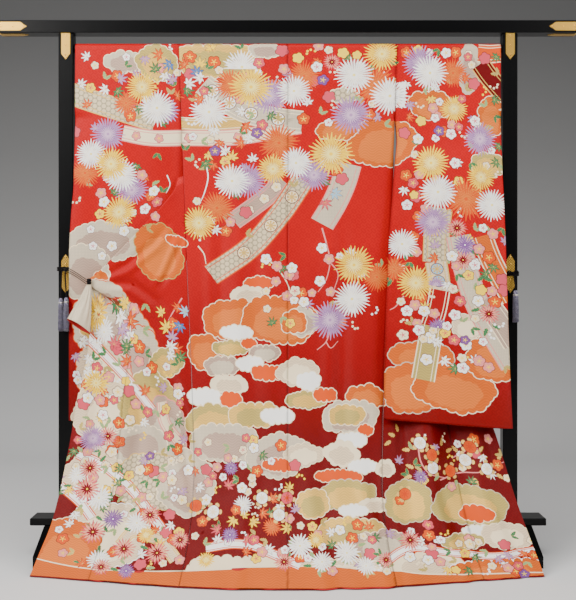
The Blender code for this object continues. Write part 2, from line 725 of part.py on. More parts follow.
COLLAR_LONG = 0.85
COLLAR_LOOSE = 0.0009
NECK_CLEAR = 0.0011
CORNER_DROPS = (0.0, 0.005, 0.010, 0.015, 0.0205, 0.030, COLLAR_WIDE)
COLLAR_LEFT_ROWS = [1.47, 1.40, 1.33, 1.26, 1.185, 1.145, 1.120, 1.080, 1.040, 1.0, 0.960, 0.920]


def collar():
    """One doubled strip: up the right front's edge, round the neck, and down the left front's."""
    radius = RAIL_R + COLLAR_LOOSE + COLLAR / 2
    widths = np.array([0.0, 0.002, 0.008, 0.015, 0.024, COLLAR_WIDE])
    rows = []

    def leg(surface, drop, inner, outer):
        at = np.array([drop])
        edge = surface(at, np.array([outer]))[0]
        inside = surface(at, np.array([inner]))[0]
        along = (edge - inside) / np.linalg.norm(edge - inside)
        return [edge + along * (GAP + w) for w in widths]

    def corner(side, down):
        rest = min(down / COLLAR_WIDE, 1.0)
        line = []
        for w in widths:
            wrap, height = over_rail(np.array(2 * GAP + down + w * (1 - rest * 0.8)), radius)
            line.append(points(side * (NECK_HALF - NECK_CLEAR - w), -wrap, height))
        return line

    right_drops = [WRAP + RAIL_Z - h for h in BACK_HEIGHTS if h > RAIL_Z - COLLAR_LONG]
    for drop in reversed(right_drops):
        rows.append(leg(right_front_surface, drop, 0.97, 1.0))
    for down in reversed(CORNER_DROPS):
        rows.append(corner(1, down))
    for part in (0.5, 0.0, -0.5):
        line = []
        for w in widths:
            wrap, height = over_rail(np.array(2 * GAP + w), radius)
            line.append(points(part * (NECK_HALF - NECK_CLEAR - w), -wrap, height))
        rows.append(line)
    for down in CORNER_DROPS:
        rows.append(corner(-1, down))
    for h in COLLAR_LEFT_ROWS:
        rows.append(
            leg(left_front_surface, WRAP + RAIL_Z - h, LEFT_COLUMNS - 0.5, float(LEFT_COLUMNS))
        )
    place = np.array(rows).reshape(-1, 3)
    cloth_solid("collar", place, grid_faces(len(rows), len(widths)), COLLAR, SILK)


# The rolled end at the tie: a cone of cloth, its mouth turned down and towards the viewer
KNOT = (-0.592, 0.0875, 0.826)
KNOT_HALF = (0.0078, 0.0058, 0.0095)
TIED_FOLD = table(
    "share x ahead height across deep",
    (0.0, -0.592, 0.0885, 0.8168, 0.007, 0.0045),
    (0.4, -0.600, 0.108, 0.768, 0.019, 0.012),
    (0.8, -0.609, 0.124, 0.720, 0.030, 0.018),
    (1.0, -0.614, 0.131, 0.694, 0.034, 0.020),
)
MOUTH_TILT = 0.55


def tied_fold():
    sides, rings = 16, 7
    place = []
    for k in range(rings):
        share = k / (rings - 1)
        at = {name: smooth(share, TIED_FOLD["share"], TIED_FOLD[name]) for name in TIED_FOLD}
        for j in range(sides):
            turn = 2 * math.pi * j / sides
            over, fore = math.cos(turn) * at["across"], math.sin(turn) * at["deep"]
            lift = (MOUTH_TILT * -over * 1.1 + fore * 0.5) * share
            place.append((at["x"] + over, RAIL_Y - at["ahead"] - fore, at["height"] + lift))
    faces = []
    for k in range(rings - 1):
        for j in range(sides):
            n = (j + 1) % sides
            faces.append((k * sides + j, (k + 1) * sides + j, (k + 1) * sides + n, k * sides + n))
    cloth_solid("tied_fold", place, faces, CLOTH, SILK)


# Cords and tassels
CORD_R = 0.0021
WRAP_Z = {-1: 0.865, 1: 0.850}
TURNS = 3
TASSELS = table(
    "x hangs_x ahead top_of_head radius length",
    (-0.6850, -0.6850, 0.046, 0.774, 0.0080, 0.098),
    (-0.6660, -0.6745, 0.058, 0.776, 0.0080, 0.100),
    (0.6870, 0.6850, 0.042, 0.797, 0.0095, 0.094),
)


def wound_cord(name, side):
    """Turns of cord round a post, lying close, as one ring."""
    half_x = POST_WIDTH / 2 + GAP
    half_y = POST_DEPTH / 2 + GAP + PLATE + GAP
    profile = []
    for turn in range(TURNS):
        centre = (turn - (TURNS - 1) / 2) * 2 * CORD_R
        for k in range(0, 4):
            angle = math.pi * (k + 0.5) / 4
            profile.append((CORD_R + CORD_R * math.sin(angle), centre - CORD_R * math.cos(angle)))
    profile += [(0.0, TURNS * CORD_R), (0.0, -TURNS * CORD_R)]
    path = []
    for cx, cy, start in ((1, 1, 0), (-1, 1, 1), (-1, -1, 2), (1, -1, 3)):
        for k in range(3):
            angle = math.pi / 2 * (start + k / 2)
            path.append((cx * half_x, cy * half_y, math.cos(angle), math.sin(angle)))
    shape = bmesh.new()
    loops = []
    for px, py, ox, oy in path:
        loops.append(
            [
                shape.verts.new(
                    (side * POST_X + px + ox * out, RAIL_Y + py + oy * out, WRAP_Z[side] + up)
                )
                for out, up in profile
            ]
        )
    count = len(profile)
    for i, loop in enumerate(loops):
        after = loops[(i + 1) % len(loops)]
        for k in range(count):
            n = (k + 1) % count
            corners = [loop[k], after[k], after[n], loop[n]]
            distinct = []
            for v in corners:
                if all((v.co - seen.co).length > 1e-7 for seen in distinct):
                    distinct.append(v)
            if len(distinct) > 2:
                shape.faces.new(distinct)
    bmesh.ops.remove_doubles(shape, verts=shape.verts[:], dist=1e-6)
    return from_bmesh(name, shape, CORD)


def strand(name, route, radius):
    """A cord along a smooth course through a few points."""
    route = np.array(route, float)
    steps = np.concatenate([[0], np.cumsum(np.linalg.norm(np.diff(route, axis=0), axis=1))])
    curve = bpy.data.curves.new(name, "CURVE")
    curve.dimensions = "3D"
    curve.bevel_depth = radius
    curve.bevel_resolution = 2
    curve.use_fill_caps = True
    line = curve.splines.new("POLY")
    at = np.linspace(0.0, steps[-1], 12)
    line.points.add(len(at) - 1)
    for point, s in zip(line.points, at):
        x, ahead, z = (smooth(s, steps, route[:, k]) for k in range(3))
        point.co = (x, RAIL_Y - ahead, z, 1.0)
    curve.materials.append(material(CORD))
    made = bpy.data.objects.new(name, curve)
    bpy.context.collection.objects.link(made)
    return made


def tie():
    """Strands from the left post's turns to the knot that holds the gathered front."""
    kx, ka, kz = KNOT
    face = POST_DEPTH / 2 + PLATE + 3 * GAP + 2 * CORD_R
    end_x = kx - KNOT_HALF[0] - 2 * GAP
    for k, lift in enumerate((0.0047, 0.0, -0.0047)):
        strand(
            f"tie_cord_{k + 1}",
            (
                (-0.6770, face + GAP, WRAP_Z[-1] + lift + 3 * GAP),
                (-0.6760, face + 0.014, WRAP_Z[-1] + lift + 2 * GAP),
                (-0.6640, 0.0600, WRAP_Z[-1] - 0.003 + lift),
                (-0.6400, 0.0740, WRAP_Z[-1] - 0.014 + lift),
                (end_x, ka - 0.001, kz + lift),
            ),
            CORD_R,
        )
    shape = bmesh.new()
    bmesh.ops.create_icosphere(shape, subdivisions=2, radius=1.0)
    for v in shape.verts:
        x, y, z = v.co
        half_x, half_y, half_z = KNOT_HALF
        v.co = (kx + x * half_x, RAIL_Y - ka + y * half_y, kz + z * half_z)
    from_bmesh("tie_knot", shape, CORD)


def tassel(name, x, hangs_x, ahead, top, radius, length):
    """Head and hanging threads in one piece, under the cord it hangs by."""
    side = -1 if x < 0 else 1
    hangs_ahead = POST_DEPTH / 2 + PLATE + 3 * GAP + CORD_R + 0.0022
    sides = 12
    head = 0.016
    rings = [
        (WRAP_Z[side] - TURNS * CORD_R - GAP, 0.0022),
        (top + 0.004, 0.0022),
        (top, radius * 0.62),
        (top - head * 0.45, radius * 0.80),
        (top - head * 0.75, radius * 0.62),
        (top - head, radius * 0.92),
        (top - head * 1.25, radius),
    ]
    shape = bmesh.new()
    loops = []
    for k, (z, r) in enumerate(rings):
        here_x, here_ahead = (hangs_x, hangs_ahead) if k == 0 else (x, ahead)
        loops.append(
            [
                shape.verts.new(
                    (
                        here_x + r * math.cos(2 * math.pi * j / sides),
                        RAIL_Y - here_ahead + r * math.sin(2 * math.pi * j / sides),
                        z,
                    )
                )
                for j in range(sides)
            ]
        )
    shape.faces.new(loops[0])
    for a, b in zip(loops, loops[1:]):
        for j in range(sides):
            n = (j + 1) % sides
            shape.faces.new((a[j], b[j], b[n], a[n]))
    low = rings[-1][0]
    inner = [
        shape.verts.new(
            (
                x + radius * 0.45 * math.cos(2 * math.pi * j / sides),
                RAIL_Y - ahead + radius * 0.45 * math.sin(2 * math.pi * j / sides),
                low,
            )
        )
        for j in range(0, sides, 2)
    ]
    roots = []
    for j in range(0, sides, 2):
        a, b, c = loops[-1][j], loops[-1][(j + 1) % sides], loops[-1][(j + 2) % sides]
        near, far = inner[j // 2], inner[(j // 2 + 1) % len(inner)]
        roots.append(shape.faces.new((b, a, near)))
        roots.append(shape.faces.new((b, near, far)))
        roots.append(shape.faces.new((c, b, far)))
    middle = shape.verts.new((x, RAIL_Y - ahead, low))
    for k, v in enumerate(inner):
        roots.append(shape.faces.new((inner[(k + 1) % len(inner)], v, middle)))
    bmesh.ops.recalc_face_normals(shape, faces=shape.faces[:])
    bmesh.ops.inset_individual(shape, faces=roots, thickness=radius * 0.07)
    long = length - head * 1.25
    for k, face in enumerate(roots):
        grown = bmesh.ops.extrude_discrete_faces(shape, faces=[face])["faces"][0]
        wander = 0.0004 * math.sin(k * 2.4)
        for v in grown.verts:
            v.co.z -= long * (1.0 - 0.035 * (k % 3))
            v.co.x += wander
    return from_bmesh(name, shape, TASSEL)


def cords():
    for side, word in ((-1, "left"), (1, "right")):
        wound_cord(f"post_cord_{word}", side)
    tie()
    names = ("tassel_left_outer", "tassel_left_inner", "tassel_right")
    for k, name in enumerate(names):
        tassel(name, *(TASSELS[column][k] for column in TASSELS))


stand()
plates()
backs()
right_front()
left_front()
sleeve("right", 1)
sleeve("left", -1)
collar()
tied_fold()
cords()
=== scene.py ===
# %% [markdown]
# # A long-sleeved silk kimono on a lacquered stand
#
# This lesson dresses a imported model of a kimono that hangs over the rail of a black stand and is
# seen from its back. The stand's timbers and plates come with the model and only need finishes. The
# silk, the cords and the tassels are made here. Everything is in metres, with +Z up, and the viewer
# stands at -Y. "Ahead" is a distance from the rail towards the viewer.

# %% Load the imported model
import math

import bmesh
import bpy
import numpy as np
from mathutils import Matrix, Vector
from mathutils.geometry import delaunay_2d_cdt


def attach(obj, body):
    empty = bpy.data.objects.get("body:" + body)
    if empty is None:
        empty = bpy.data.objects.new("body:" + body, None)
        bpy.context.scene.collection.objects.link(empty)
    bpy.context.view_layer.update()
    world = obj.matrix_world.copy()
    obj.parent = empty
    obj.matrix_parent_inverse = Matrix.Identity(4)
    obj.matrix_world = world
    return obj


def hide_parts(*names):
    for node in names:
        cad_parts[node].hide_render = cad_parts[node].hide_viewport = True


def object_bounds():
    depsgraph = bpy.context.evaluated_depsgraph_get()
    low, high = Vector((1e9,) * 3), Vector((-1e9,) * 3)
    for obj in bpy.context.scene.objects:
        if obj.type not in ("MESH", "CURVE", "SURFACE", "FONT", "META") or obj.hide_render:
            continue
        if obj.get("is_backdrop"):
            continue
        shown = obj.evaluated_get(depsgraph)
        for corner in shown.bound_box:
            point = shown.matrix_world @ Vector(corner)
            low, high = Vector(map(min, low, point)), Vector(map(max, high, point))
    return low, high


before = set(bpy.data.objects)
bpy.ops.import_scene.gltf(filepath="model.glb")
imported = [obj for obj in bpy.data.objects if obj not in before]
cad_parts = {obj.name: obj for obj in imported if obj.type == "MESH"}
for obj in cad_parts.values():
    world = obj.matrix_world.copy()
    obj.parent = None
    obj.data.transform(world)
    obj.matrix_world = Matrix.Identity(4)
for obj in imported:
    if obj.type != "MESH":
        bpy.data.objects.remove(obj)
cad_box = [list(corner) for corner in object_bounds()]
bpy.ops.object.select_all(action="DESELECT")
print("solids loaded:", len(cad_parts))

# %% [markdown]
# ## The camera
#
# The photograph was taken level, from about the middle of the garment's height and about 3.2 m in
# front of the posts. A level camera keeps the posts upright, so the picture is framed with a small
# lens shift instead of a tilt.

# %% Place the camera
PHOTO_WIDE, PHOTO_HIGH = 576, 600
RAIL_Y = (0.420 + 0.001 * 0.766 - 0.193) / 2
EYE_BACK, EYE_HEIGHT = 3.2, 0.789
PIXELS_PER_M = 327.0
EYE_ROW = 294

camera_data = bpy.data.cameras.new("eye")
camera_data.sensor_width = 36.0
camera_data.sensor_fit = "AUTO"
camera_data.lens = 36.0 * PIXELS_PER_M * EYE_BACK / PHOTO_HIGH
camera_data.shift_y = (EYE_ROW - PHOTO_HIGH / 2) / PHOTO_HIGH
camera = bpy.data.objects.new("eye", camera_data)
camera.location = (0.0, RAIL_Y - EYE_BACK, EYE_HEIGHT)
camera.rotation_euler = (math.pi / 2, 0.0, 0.0)
bpy.context.scene.collection.objects.link(camera)
bpy.context.scene.camera = camera
print("lens, mm:", round(camera_data.lens, 1))

# %% [markdown]
# ## How the silk hangs
#
# A kimono is made of straight widths of cloth. Each one is described here as a surface: a place on
# the flat cloth gives a place in the room. The courses come from short tables, and a smooth curve
# is carried through each table. The tables are those of the solid model, so the silk lies where its
# solids are.

# %% Smooth courses through short tables
GAP, CLOTH = 0.0003, 0.002
RAIL_R, RAIL_Z = 0.013, 1.539
HEM_AHEAD, HEM_CORNER_X, HEM_BOW, HEM_Z = 0.420, 0.715, 0.135, 0.0018
NECK_HALF = 0.100
WRAP_R = RAIL_R + GAP + CLOTH / 2
WRAP = WRAP_R * math.pi / 2
LOW = WRAP + RAIL_Z - HEM_Z


length_of = np.linalg.norm


def table(names, *rows):
    return dict(zip(names.split(), np.array(rows, float).T))


def rows_of(text):
    """Rows of a text table, parted by semicolons or line ends, as numbers and words."""
    rows = [row.split() for row in text.replace("\n", ";").split(";") if row.strip()]
    return [[float(cell) if cell[-1].isdigit() else cell for cell in row] for row in rows]


def blend(a, b, leaving, arriving, t):
    """The cubic from a to b with given slopes at both, where t runs from 0 to 1."""
    ends = a * (1 + 2 * t) * (1 - t) ** 2 + b * t * t * (3 - 2 * t)
    return ends + leaving * t * (1 - t) ** 2 - arriving * t * t * (1 - t)


def smooth(at, keys, values):
    """A curve through a table's points that never swings past them."""
    order = np.argsort(keys)
    x, y = np.asarray(keys)[order], np.asarray(values)[order]
    at = np.clip(at, x[0], x[-1])
    rise = np.diff(y) / np.diff(x)
    slope = np.zeros_like(y)
    both = rise[:-1] * rise[1:] > 0
    slope[1:-1][both] = 2 * rise[:-1][both] * rise[1:][both] / (rise[:-1] + rise[1:])[both]
    slope[0], slope[-1] = rise[0], rise[-1]
    i = np.clip(np.searchsorted(x, at, side="right") - 1, 0, len(x) - 2)
    span = x[i + 1] - x[i]
    return blend(y[i], y[i + 1], span * slope[i], span * slope[i + 1], (at - x[i]) / span)


def course_at(rows, height, name):
    """A named column of a table, read at a height."""
    return smooth(height, rows["height"], rows[name])


def ease(value, low, high):
    t = np.clip((value - low) / (high - low), 0.0, 1.0)
    return t * t * (3 - 2 * t)


def over_rail(drop, radius):
    """Distance from the rail's plane, and height, of cloth that hangs drop below its top."""
    turn = np.clip(drop / radius, 0.0, math.pi / 2)
    height = RAIL_Z + radius * np.cos(turn) - np.maximum(drop - radius * math.pi / 2, 0.0)
    return radius * np.sin(turn), height


def points(x, ahead, height):
    x, ahead, height = np.broadcast_arrays(x, ahead, height)
    return np.stack([x, RAIL_Y - ahead, height], axis=-1)


# %% [markdown]
# ## Folds
#
# The large folds are given one by one. Each is a line across the front of the garment, with a depth
# and a width, and it pushes the cloth forward on one side of the line and back on the other. The
# longest one starts at the tie and falls across the left front into the back.

# %% The long fold and the creases
LONG_FOLD = table(
    "x height depth",
    (-0.490, 0.740, 0.0),
    (-0.437, 0.640, 0.008),
    (-0.365, 0.460, 0.014),
    (-0.290, 0.270, 0.013),
    (-0.220, 0.185, 0.009),
    (-0.135, 0.160, 0.0),
)
FOLD_WIDE = 0.034


def crease(x, height, line, wide, lean=1.6, level=0.2):
    """A ridge beside a trough along a line of (x, height, depth) on the front view."""
    line = np.asarray(line, float)
    best = np.full(np.shape(x), 1e9)
    side = np.zeros(np.shape(x))
    depth = np.zeros(np.shape(x))
    for (ax, az, ad), (bx, bz, bd) in zip(line, line[1:]):
        dx, dz = bx - ax, bz - az
        long = math.hypot(dx, dz)
        t = np.clip(((x - ax) * dx + (height - az) * dz) / long**2, 0, 1)
        off_x, off_z = x - ax - t * dx, height - az - t * dz
        gap = np.hypot(off_x, off_z)
        near = gap < best
        best = np.where(near, gap, best)
        side = np.where(near, (off_x * dz - off_z * dx) / long, side)
        depth = np.where(near, ad + t * (bd - ad), depth)
    falls = np.exp(-best * best / wide**2 / 2)
    return depth * falls * (lean * np.sin(side / wide * 1.6) - level)


def long_fold(x, height):
    line = np.stack([LONG_FOLD["x"], LONG_FOLD["height"], LONG_FOLD["depth"]], axis=-1)
    return crease(x, height, line, FOLD_WIDE)


# Creases that run out from the tie, and soft ones lower down, in millimetres: a width, and then x,
# height and depth at each of four places
FRONT_CREASES = """
    11 -583 800 1 -551 770 6 -520 725 5 -497 685 0
    8 -590 795 1 -572 760 4 -566 735 4 -580 690 0
    12 -324 960 0 -345 912 4 -375 843 4 -402 800 0
    16 -560 815 1 -470 810 5 -400 760 4 -345 680 0
    14 -560 828 1 -480 868 4 -400 935 4 -345 1010 0
    10 -575 780 0 -520 765 4 -470 700 3 -440 640 0
    24 -585 560 0 -575 440 6 -580 300 6 -610 120 0
    28 -470 520 0 -455 380 6 -470 220 7 -500 20 3
    26 -340 260 0 -360 160 5 -390 40 5 -400 2 4
    34 -130 1250 0 -120 950 3.5 -128 600 3 -110 300 0
    30 140 1150 0 150 850 3.5 140 500 4 160 240 0
    22 -215 1100 0 -222 880 3 -218 700 2 -225 500 0
    30 70 330 0 85 200 6 105 80 7 120 2 5
    32 -90 300 0 -105 180 6 -110 60 6 -125 2 5
    26 215 360 0 235 220 6 262 90 6 285 2 5
    24 400 340 0 430 200 5 480 80 5 505 2 4
    20 540 330 0 575 200 4 625 90 4 650 2 3
"""


def front_relief(x, height):
    """All the creases of the garment's near side, as distance ahead."""
    total = np.zeros(np.broadcast(x, height).shape)
    for wide, *line in rows_of(FRONT_CREASES):
        total = total + crease(x, height, np.array(line).reshape(-1, 3) / 1000, wide / 1000)
    slack = 1 - ease(height, 1.30, 1.50)
    ripple = 0.0009 * np.sin(x * 41 + 3 * np.sin(height * 5)) * np.sin(height * 9 + x * 7)
    return total + ripple * slack


# %% [markdown]
# ## The back
#
# The back is two widths of silk, joined down the middle. It hangs straight from the rail, and in
# its lower half it comes forward until the hem lies on the floor in a wide curve.

# %% The back's surface
BACK = table(
    "height ahead half_width",
    (RAIL_Z, WRAP_R, 0.3320),
    (1.250, 0.019, 0.3220),
    (0.900, 0.035, 0.3070),
    (0.600, 0.075, 0.2900),
    (0.380, 0.140, 0.2770),
    (0.200, 0.235, 0.2700),
    (0.080, 0.335, 0.2800),
    (HEM_Z, HEM_AHEAD, 0.2930),
)


def back_ahead(x, height):
    bow = HEM_BOW * (x / HEM_CORNER_X) ** 2 * (1 - ease(height, 0.0, 0.40))
    return course_at(BACK, height, "ahead") - bow + long_fold(x, height)


def back_surface(drop, across):
    """across runs from -1 at the left side seam to 1 at the right one."""
    wrap, height = over_rail(drop, WRAP_R)
    height = np.maximum(height, HEM_Z)
    x = across * course_at(BACK, height, "half_width")
    hang = back_ahead(x, height) + front_relief(x, height)
    return points(x, np.where(drop < WRAP, wrap, hang), height)


# %% [markdown]
# ## The two fronts
#
# A front is sewn to the back below the opening under the sleeve. Above that it hangs on the far
# side of the rail. The right front fans out behind the right sleeve. The left front is drawn out
# through the opening to the left post: it runs out to the line of the pull, turns under there, and
# runs back to its free edge.

# %% The fronts' surfaces
RIGHT_SEAM_TOP, RIGHT_SEAM_TURN = 1.150, 0.140
LEFT_SEAM_TOP, LEFT_SEAM_TURN = 1.120, 0.075


def side_seam(side, height, lean=0.0, inward=0.0):
    """The back's side edge, and how the front stands clear of it there."""
    x = side * course_at(BACK, height, "half_width")
    sewn = back_ahead(x, height) + front_relief(x, height)
    top, turn = (RIGHT_SEAM_TOP, RIGHT_SEAM_TURN) if side > 0 else (LEFT_SEAM_TOP, LEFT_SEAM_TURN)
    away = ease(height, top, top + turn)
    clear = side * (GAP + CLOTH / 2 * (np.abs(lean) + 1.5 * inward)) * (1 - away)
    return points(x + clear, sewn * (1 - away) - WRAP_R * away, height)


RIGHT_EDGE = table(
    "height x behind",
    (RAIL_Z, 0.100, WRAP_R),
    (1.400, 0.130, 0.050),
    (1.170, 0.240, 0.120),
    (1.000, 0.360, 0.120),
    (0.780, 0.470, 0.060),
    (0.600, 0.540, 0.000),
    (0.380, 0.612, -0.103),
    (0.200, 0.655, -0.190),
    (HEM_Z, 0.715, -0.285),
)
RIGHT_PLEATS, PLEAT_MOST = 2, 0.029
FRONT_WIDTH = table(
    "height cloth", (RAIL_Z, 0.232), (1.170, 0.270), (1.000, 0.340), (0.600, 0.390), (HEM_Z, 0.420)
)


def right_front_surface(drop, across):
    """across runs from 0 at the side seam to 1 at the free edge."""
    wrap, height = over_rail(drop, WRAP_R)
    height = np.maximum(height, HEM_Z)
    behind = course_at(RIGHT_EDGE, height, "behind")
    edge = points(course_at(RIGHT_EDGE, height, "x"), -behind, height)
    # The seam's clearance depends on which way the cloth leaves it, so the first chord is a trial
    lean, inward = 0.0, 0.0
    for _ in range(2):
        start = side_seam(1, height, lean, inward)
        chord = edge - start
        long = length_of(chord[..., :2], axis=-1)
        lean, inward = chord[..., 1] / long, np.maximum(-chord[..., 0] / long, 0.0)
    cloth = course_at(FRONT_WIDTH, height, "cloth")
    slack = np.sqrt(np.maximum(cloth / long - 1.0, 0.0))
    deep = np.minimum(slack * long / (math.pi * RIGHT_PLEATS), PLEAT_MOST)
    deep = deep * (1 - ease(height, 1.02, 1.15)) * ease(height, 0.0, 0.15)
    calm = ease(across, 0.07, 0.25) * (1 - ease(across, 0.75, 0.93))
    wave = deep * np.sin(2 * math.pi * RIGHT_PLEATS * across) * calm
    normal = np.stack([-chord[..., 1], chord[..., 0], 0 * long], axis=-1) / long[..., None]
    place = start + chord * np.asarray(across)[..., None] + normal * wave[..., None]
    own = front_relief(place[..., 0], height) * (1 - ease(height, 0.30, 0.42))
    place[..., 1] -= own * ease(across, 0.0, 0.08)
    on_rail = points(start[..., 0] + chord[..., 0] * across, -wrap, height)
    return np.where(np.asarray(drop < WRAP)[..., None], on_rail, place)


LEFT_FRONT = table(
    "height pull_x pull_ahead pull_height edge_x edge_ahead edge_height turned",
    (RAIL_Z, -0.224, -0.0143, 1.539, -0.100, -0.0143, 1.539, 0),
    (1.400, -0.224, -0.017, 1.400, -0.100, -0.019, 1.400, 0),
    (1.260, -0.220, -0.012, 1.260, -0.100, -0.022, 1.260, 0),
    (1.185, -0.216, -0.006, 1.185, -0.100, -0.024, 1.185, 0),
    (1.145, -0.333, 0.014, 1.142, -0.112, -0.022, 1.130, 1),
    (1.120, -0.337, 0.0315, 1.115, -0.120, -0.020, 1.100, 1),
    (1.040, -0.376, 0.042, 1.056, -0.160, -0.012, 1.000, 1),
    (0.960, -0.437, 0.0525, 0.990, -0.240, 0.012, 0.920, 1),
    (0.880, -0.503, 0.064, 0.918, -0.360, 0.042, 0.870, 1),
    (0.800, -0.567, 0.075, 0.850, -0.490, 0.060, 0.810, 1),
    (0.745, -0.594, 0.080, 0.822, -0.588, 0.070, 0.815, 1),
    (0.660, -0.449, 0.084, 0.670, -0.587, 0.102, 0.680, 0),
    (0.480, -0.465, 0.118, 0.479, -0.619, 0.130, 0.478, 0),
    (0.328, -0.465, 0.165, 0.328, -0.639, 0.165, 0.328, 0),
    (0.149, -0.485, 0.240, 0.149, -0.669, 0.225, 0.149, 0),
    (0.058, -0.505, 0.290, 0.058, -0.700, 0.260, 0.058, 0),
    (HEM_Z, -0.520, 0.320, HEM_Z, -0.720, 0.285, HEM_Z, 0),
)
TURN_R = 0.004
# Columns of the left front: out to the pull line, round the turn, and back to the free edge
OUT_COLUMNS, TURN_COLUMNS, LEFT_COLUMNS, LEFT_SEAM = 8, 3, 15, 9.0


def left_front_surface(drop, column):
    """column runs from 0 at the side seam to LEFT_COLUMNS at the free edge."""
    wrap, height = over_rail(drop, WRAP_R)
    height = np.maximum(height, HEM_Z)

    start = side_seam(-1, height, 0.25)
    edge, pull = [
        points(*[course_at(LEFT_FRONT, height, f"{line}_{name}") for name in ("x", "ahead", "height")])
        for line in ("edge", "pull")
    ]
    turned = course_at(LEFT_FRONT, height, "turned")[..., None]
    column = np.asarray(column, float)[..., None]
    share = column / LEFT_COLUMNS
    flat = start + (edge - start) * share
    flat[..., 1] -= long_fold(flat[..., 0], flat[..., 2]) * ease(share[..., 0], 0.0, 0.08)

    out = pull - start
    out = out / length_of(out, axis=-1, keepdims=True)
    rear = np.array([0.0, 1.0, 0.0])
    bend = np.clip((column - OUT_COLUMNS) / TURN_COLUMNS, 0.0, 1.0) * math.pi
    to_pull = start + (pull - start) * np.clip(column / OUT_COLUMNS, 0.0, 1.0)
    round_it = pull + rear * TURN_R * (1 - np.cos(bend)) + out * TURN_R * np.sin(bend)
    back_from = pull + rear * TURN_R * 2
    home = np.clip(
        (column - OUT_COLUMNS - TURN_COLUMNS) / (LEFT_COLUMNS - OUT_COLUMNS - TURN_COLUMNS), 0, 1
    )
    to_edge = back_from + (edge - back_from) * home
    hairpin = np.where(column <= OUT_COLUMNS, to_pull, round_it)
    hairpin = np.where(column >= OUT_COLUMNS + TURN_COLUMNS, to_edge, hairpin)
    place = flat * (1 - turned) + hairpin * turned
    near = ease(share[..., 0], 0.0, 0.05) * (1 - ease(height, 1.10, 1.15))
    place[..., 1] -= front_relief(place[..., 0], place[..., 2]) * near
    on_rail = points(start[..., 0] + (edge - start)[..., 0] * share[..., 0], -wrap, height)
    return np.where(np.asarray(drop < WRAP)[..., None], on_rail, place)


# %% [markdown]
# ## The sleeves
#
# A long sleeve is one width folded at the top and at the bottom, so it hangs as a flat bag over the
# rail. Below the wrist its outer edge is sewn shut. Its surface starts under the lower fold, comes
# up the near side, passes over the rail and goes down the far side.

# %% The sleeves' surface
SLEEVE_RIGHT = table(
    "height past_side outer ahead_in ahead_out half_gap",
    (RAIL_Z, 0.0005, 0.6480, 0.000, 0.000, WRAP_R),
    (1.450, 0.0005, 0.6480, 0.003, 0.003, 0.0120),
    (1.330, 0.0010, 0.6480, 0.011, 0.010, 0.0095),
    (1.250, 0.0080, 0.6480, 0.020, 0.020, 0.0085),
    (1.170, 0.0028, 0.6480, 0.036, 0.036, 0.0070),
    (1.100, 0.0000, 0.6500, 0.042, 0.043, 0.0065),
    (0.900, -0.0070, 0.6540, 0.058, 0.062, 0.0060),
    (0.600, -0.0040, 0.6545, 0.100, 0.105, 0.0055),
    (0.380, 0.0010, 0.6535, 0.160, 0.158, 0.0050),
)
SLEEVE_LEFT = table(
    "height past_side outer ahead_in ahead_out half_gap",
    (RAIL_Z, 0.0005, 0.6480, 0.000, 0.000, WRAP_R),
    (1.450, 0.0005, 0.6480, 0.000, 0.004, 0.0120),
    (1.330, 0.0010, 0.6480, 0.000, 0.010, 0.0095),
    (1.250, 0.0010, 0.6480, -0.002, 0.020, 0.0085),
    (1.130, 0.0010, 0.6480, -0.0065, 0.035, 0.0060),
    (1.020, 0.0290, 0.6560, 0.009, 0.038, 0.0050),
    (0.900, 0.0330, 0.6610, 0.014, 0.040, 0.0045),
    (0.600, 0.0500, 0.6610, 0.030, 0.043, 0.0045),
    (0.380, 0.0630, 0.6610, 0.055, 0.046, 0.0050),
)
SLEEVE_LOW = {1: (0.428, 0.398), -1: (0.412, 0.408)}
WRIST_LOW = 1.320
# Half the distance between the two layers where the outer edge is sewn
SEWN_HALF = 0.0007
# Flat length of one layer, from the rail's top to the lower fold, and of the fold itself
SLEEVE_HANGS, SLEEVE_FOLD, SLEEVE_WIDE = 1.150, 0.012, 0.325


def sleeve_waves(side, across, height):
    """Slow upright waves that both layers share."""
    low = 1 - ease(height, 1.15, 1.45)
    wave = 0.0030 * np.sin(across * 7.1 + side + height * 1.3) * np.sin(height * 2.4 + 0.6)
    wave = wave + 0.0014 * np.sin(across * 17.0 + 2.0 * np.sin(height * 3.0) + side * 2)
    return wave * low * ease(across, 0.0, 0.12)


def sleeve_layer(side, fall, across, face):
    """A layer of a sleeve: fall from 0 at the rail to 1 at the lower fold, face 1 near, -1 far."""
    shape = SLEEVE_RIGHT if side > 0 else SLEEVE_LEFT
    inner_low, outer_low = SLEEVE_LOW[side]
    low = inner_low + (outer_low - inner_low) * across
    height = RAIL_Z - fall * (RAIL_Z - low)

    def course(name):
        return course_at(shape, height, name)

    inner = course("past_side") + course_at(BACK, height, "half_width")
    x = inner + (course("outer") - inner) * across
    middle = course("ahead_in") + (course("ahead_out") - course("ahead_in")) * across
    sewn = 1 - ease(height, WRIST_LOW, WRIST_LOW + 0.03)
    nip = sewn * np.clip(across, 0, 1) ** 8
    half = course("half_gap") * (1 - nip) + SEWN_HALF * nip
    return points(side * x, middle + face * half + sleeve_waves(side, across, height), height)


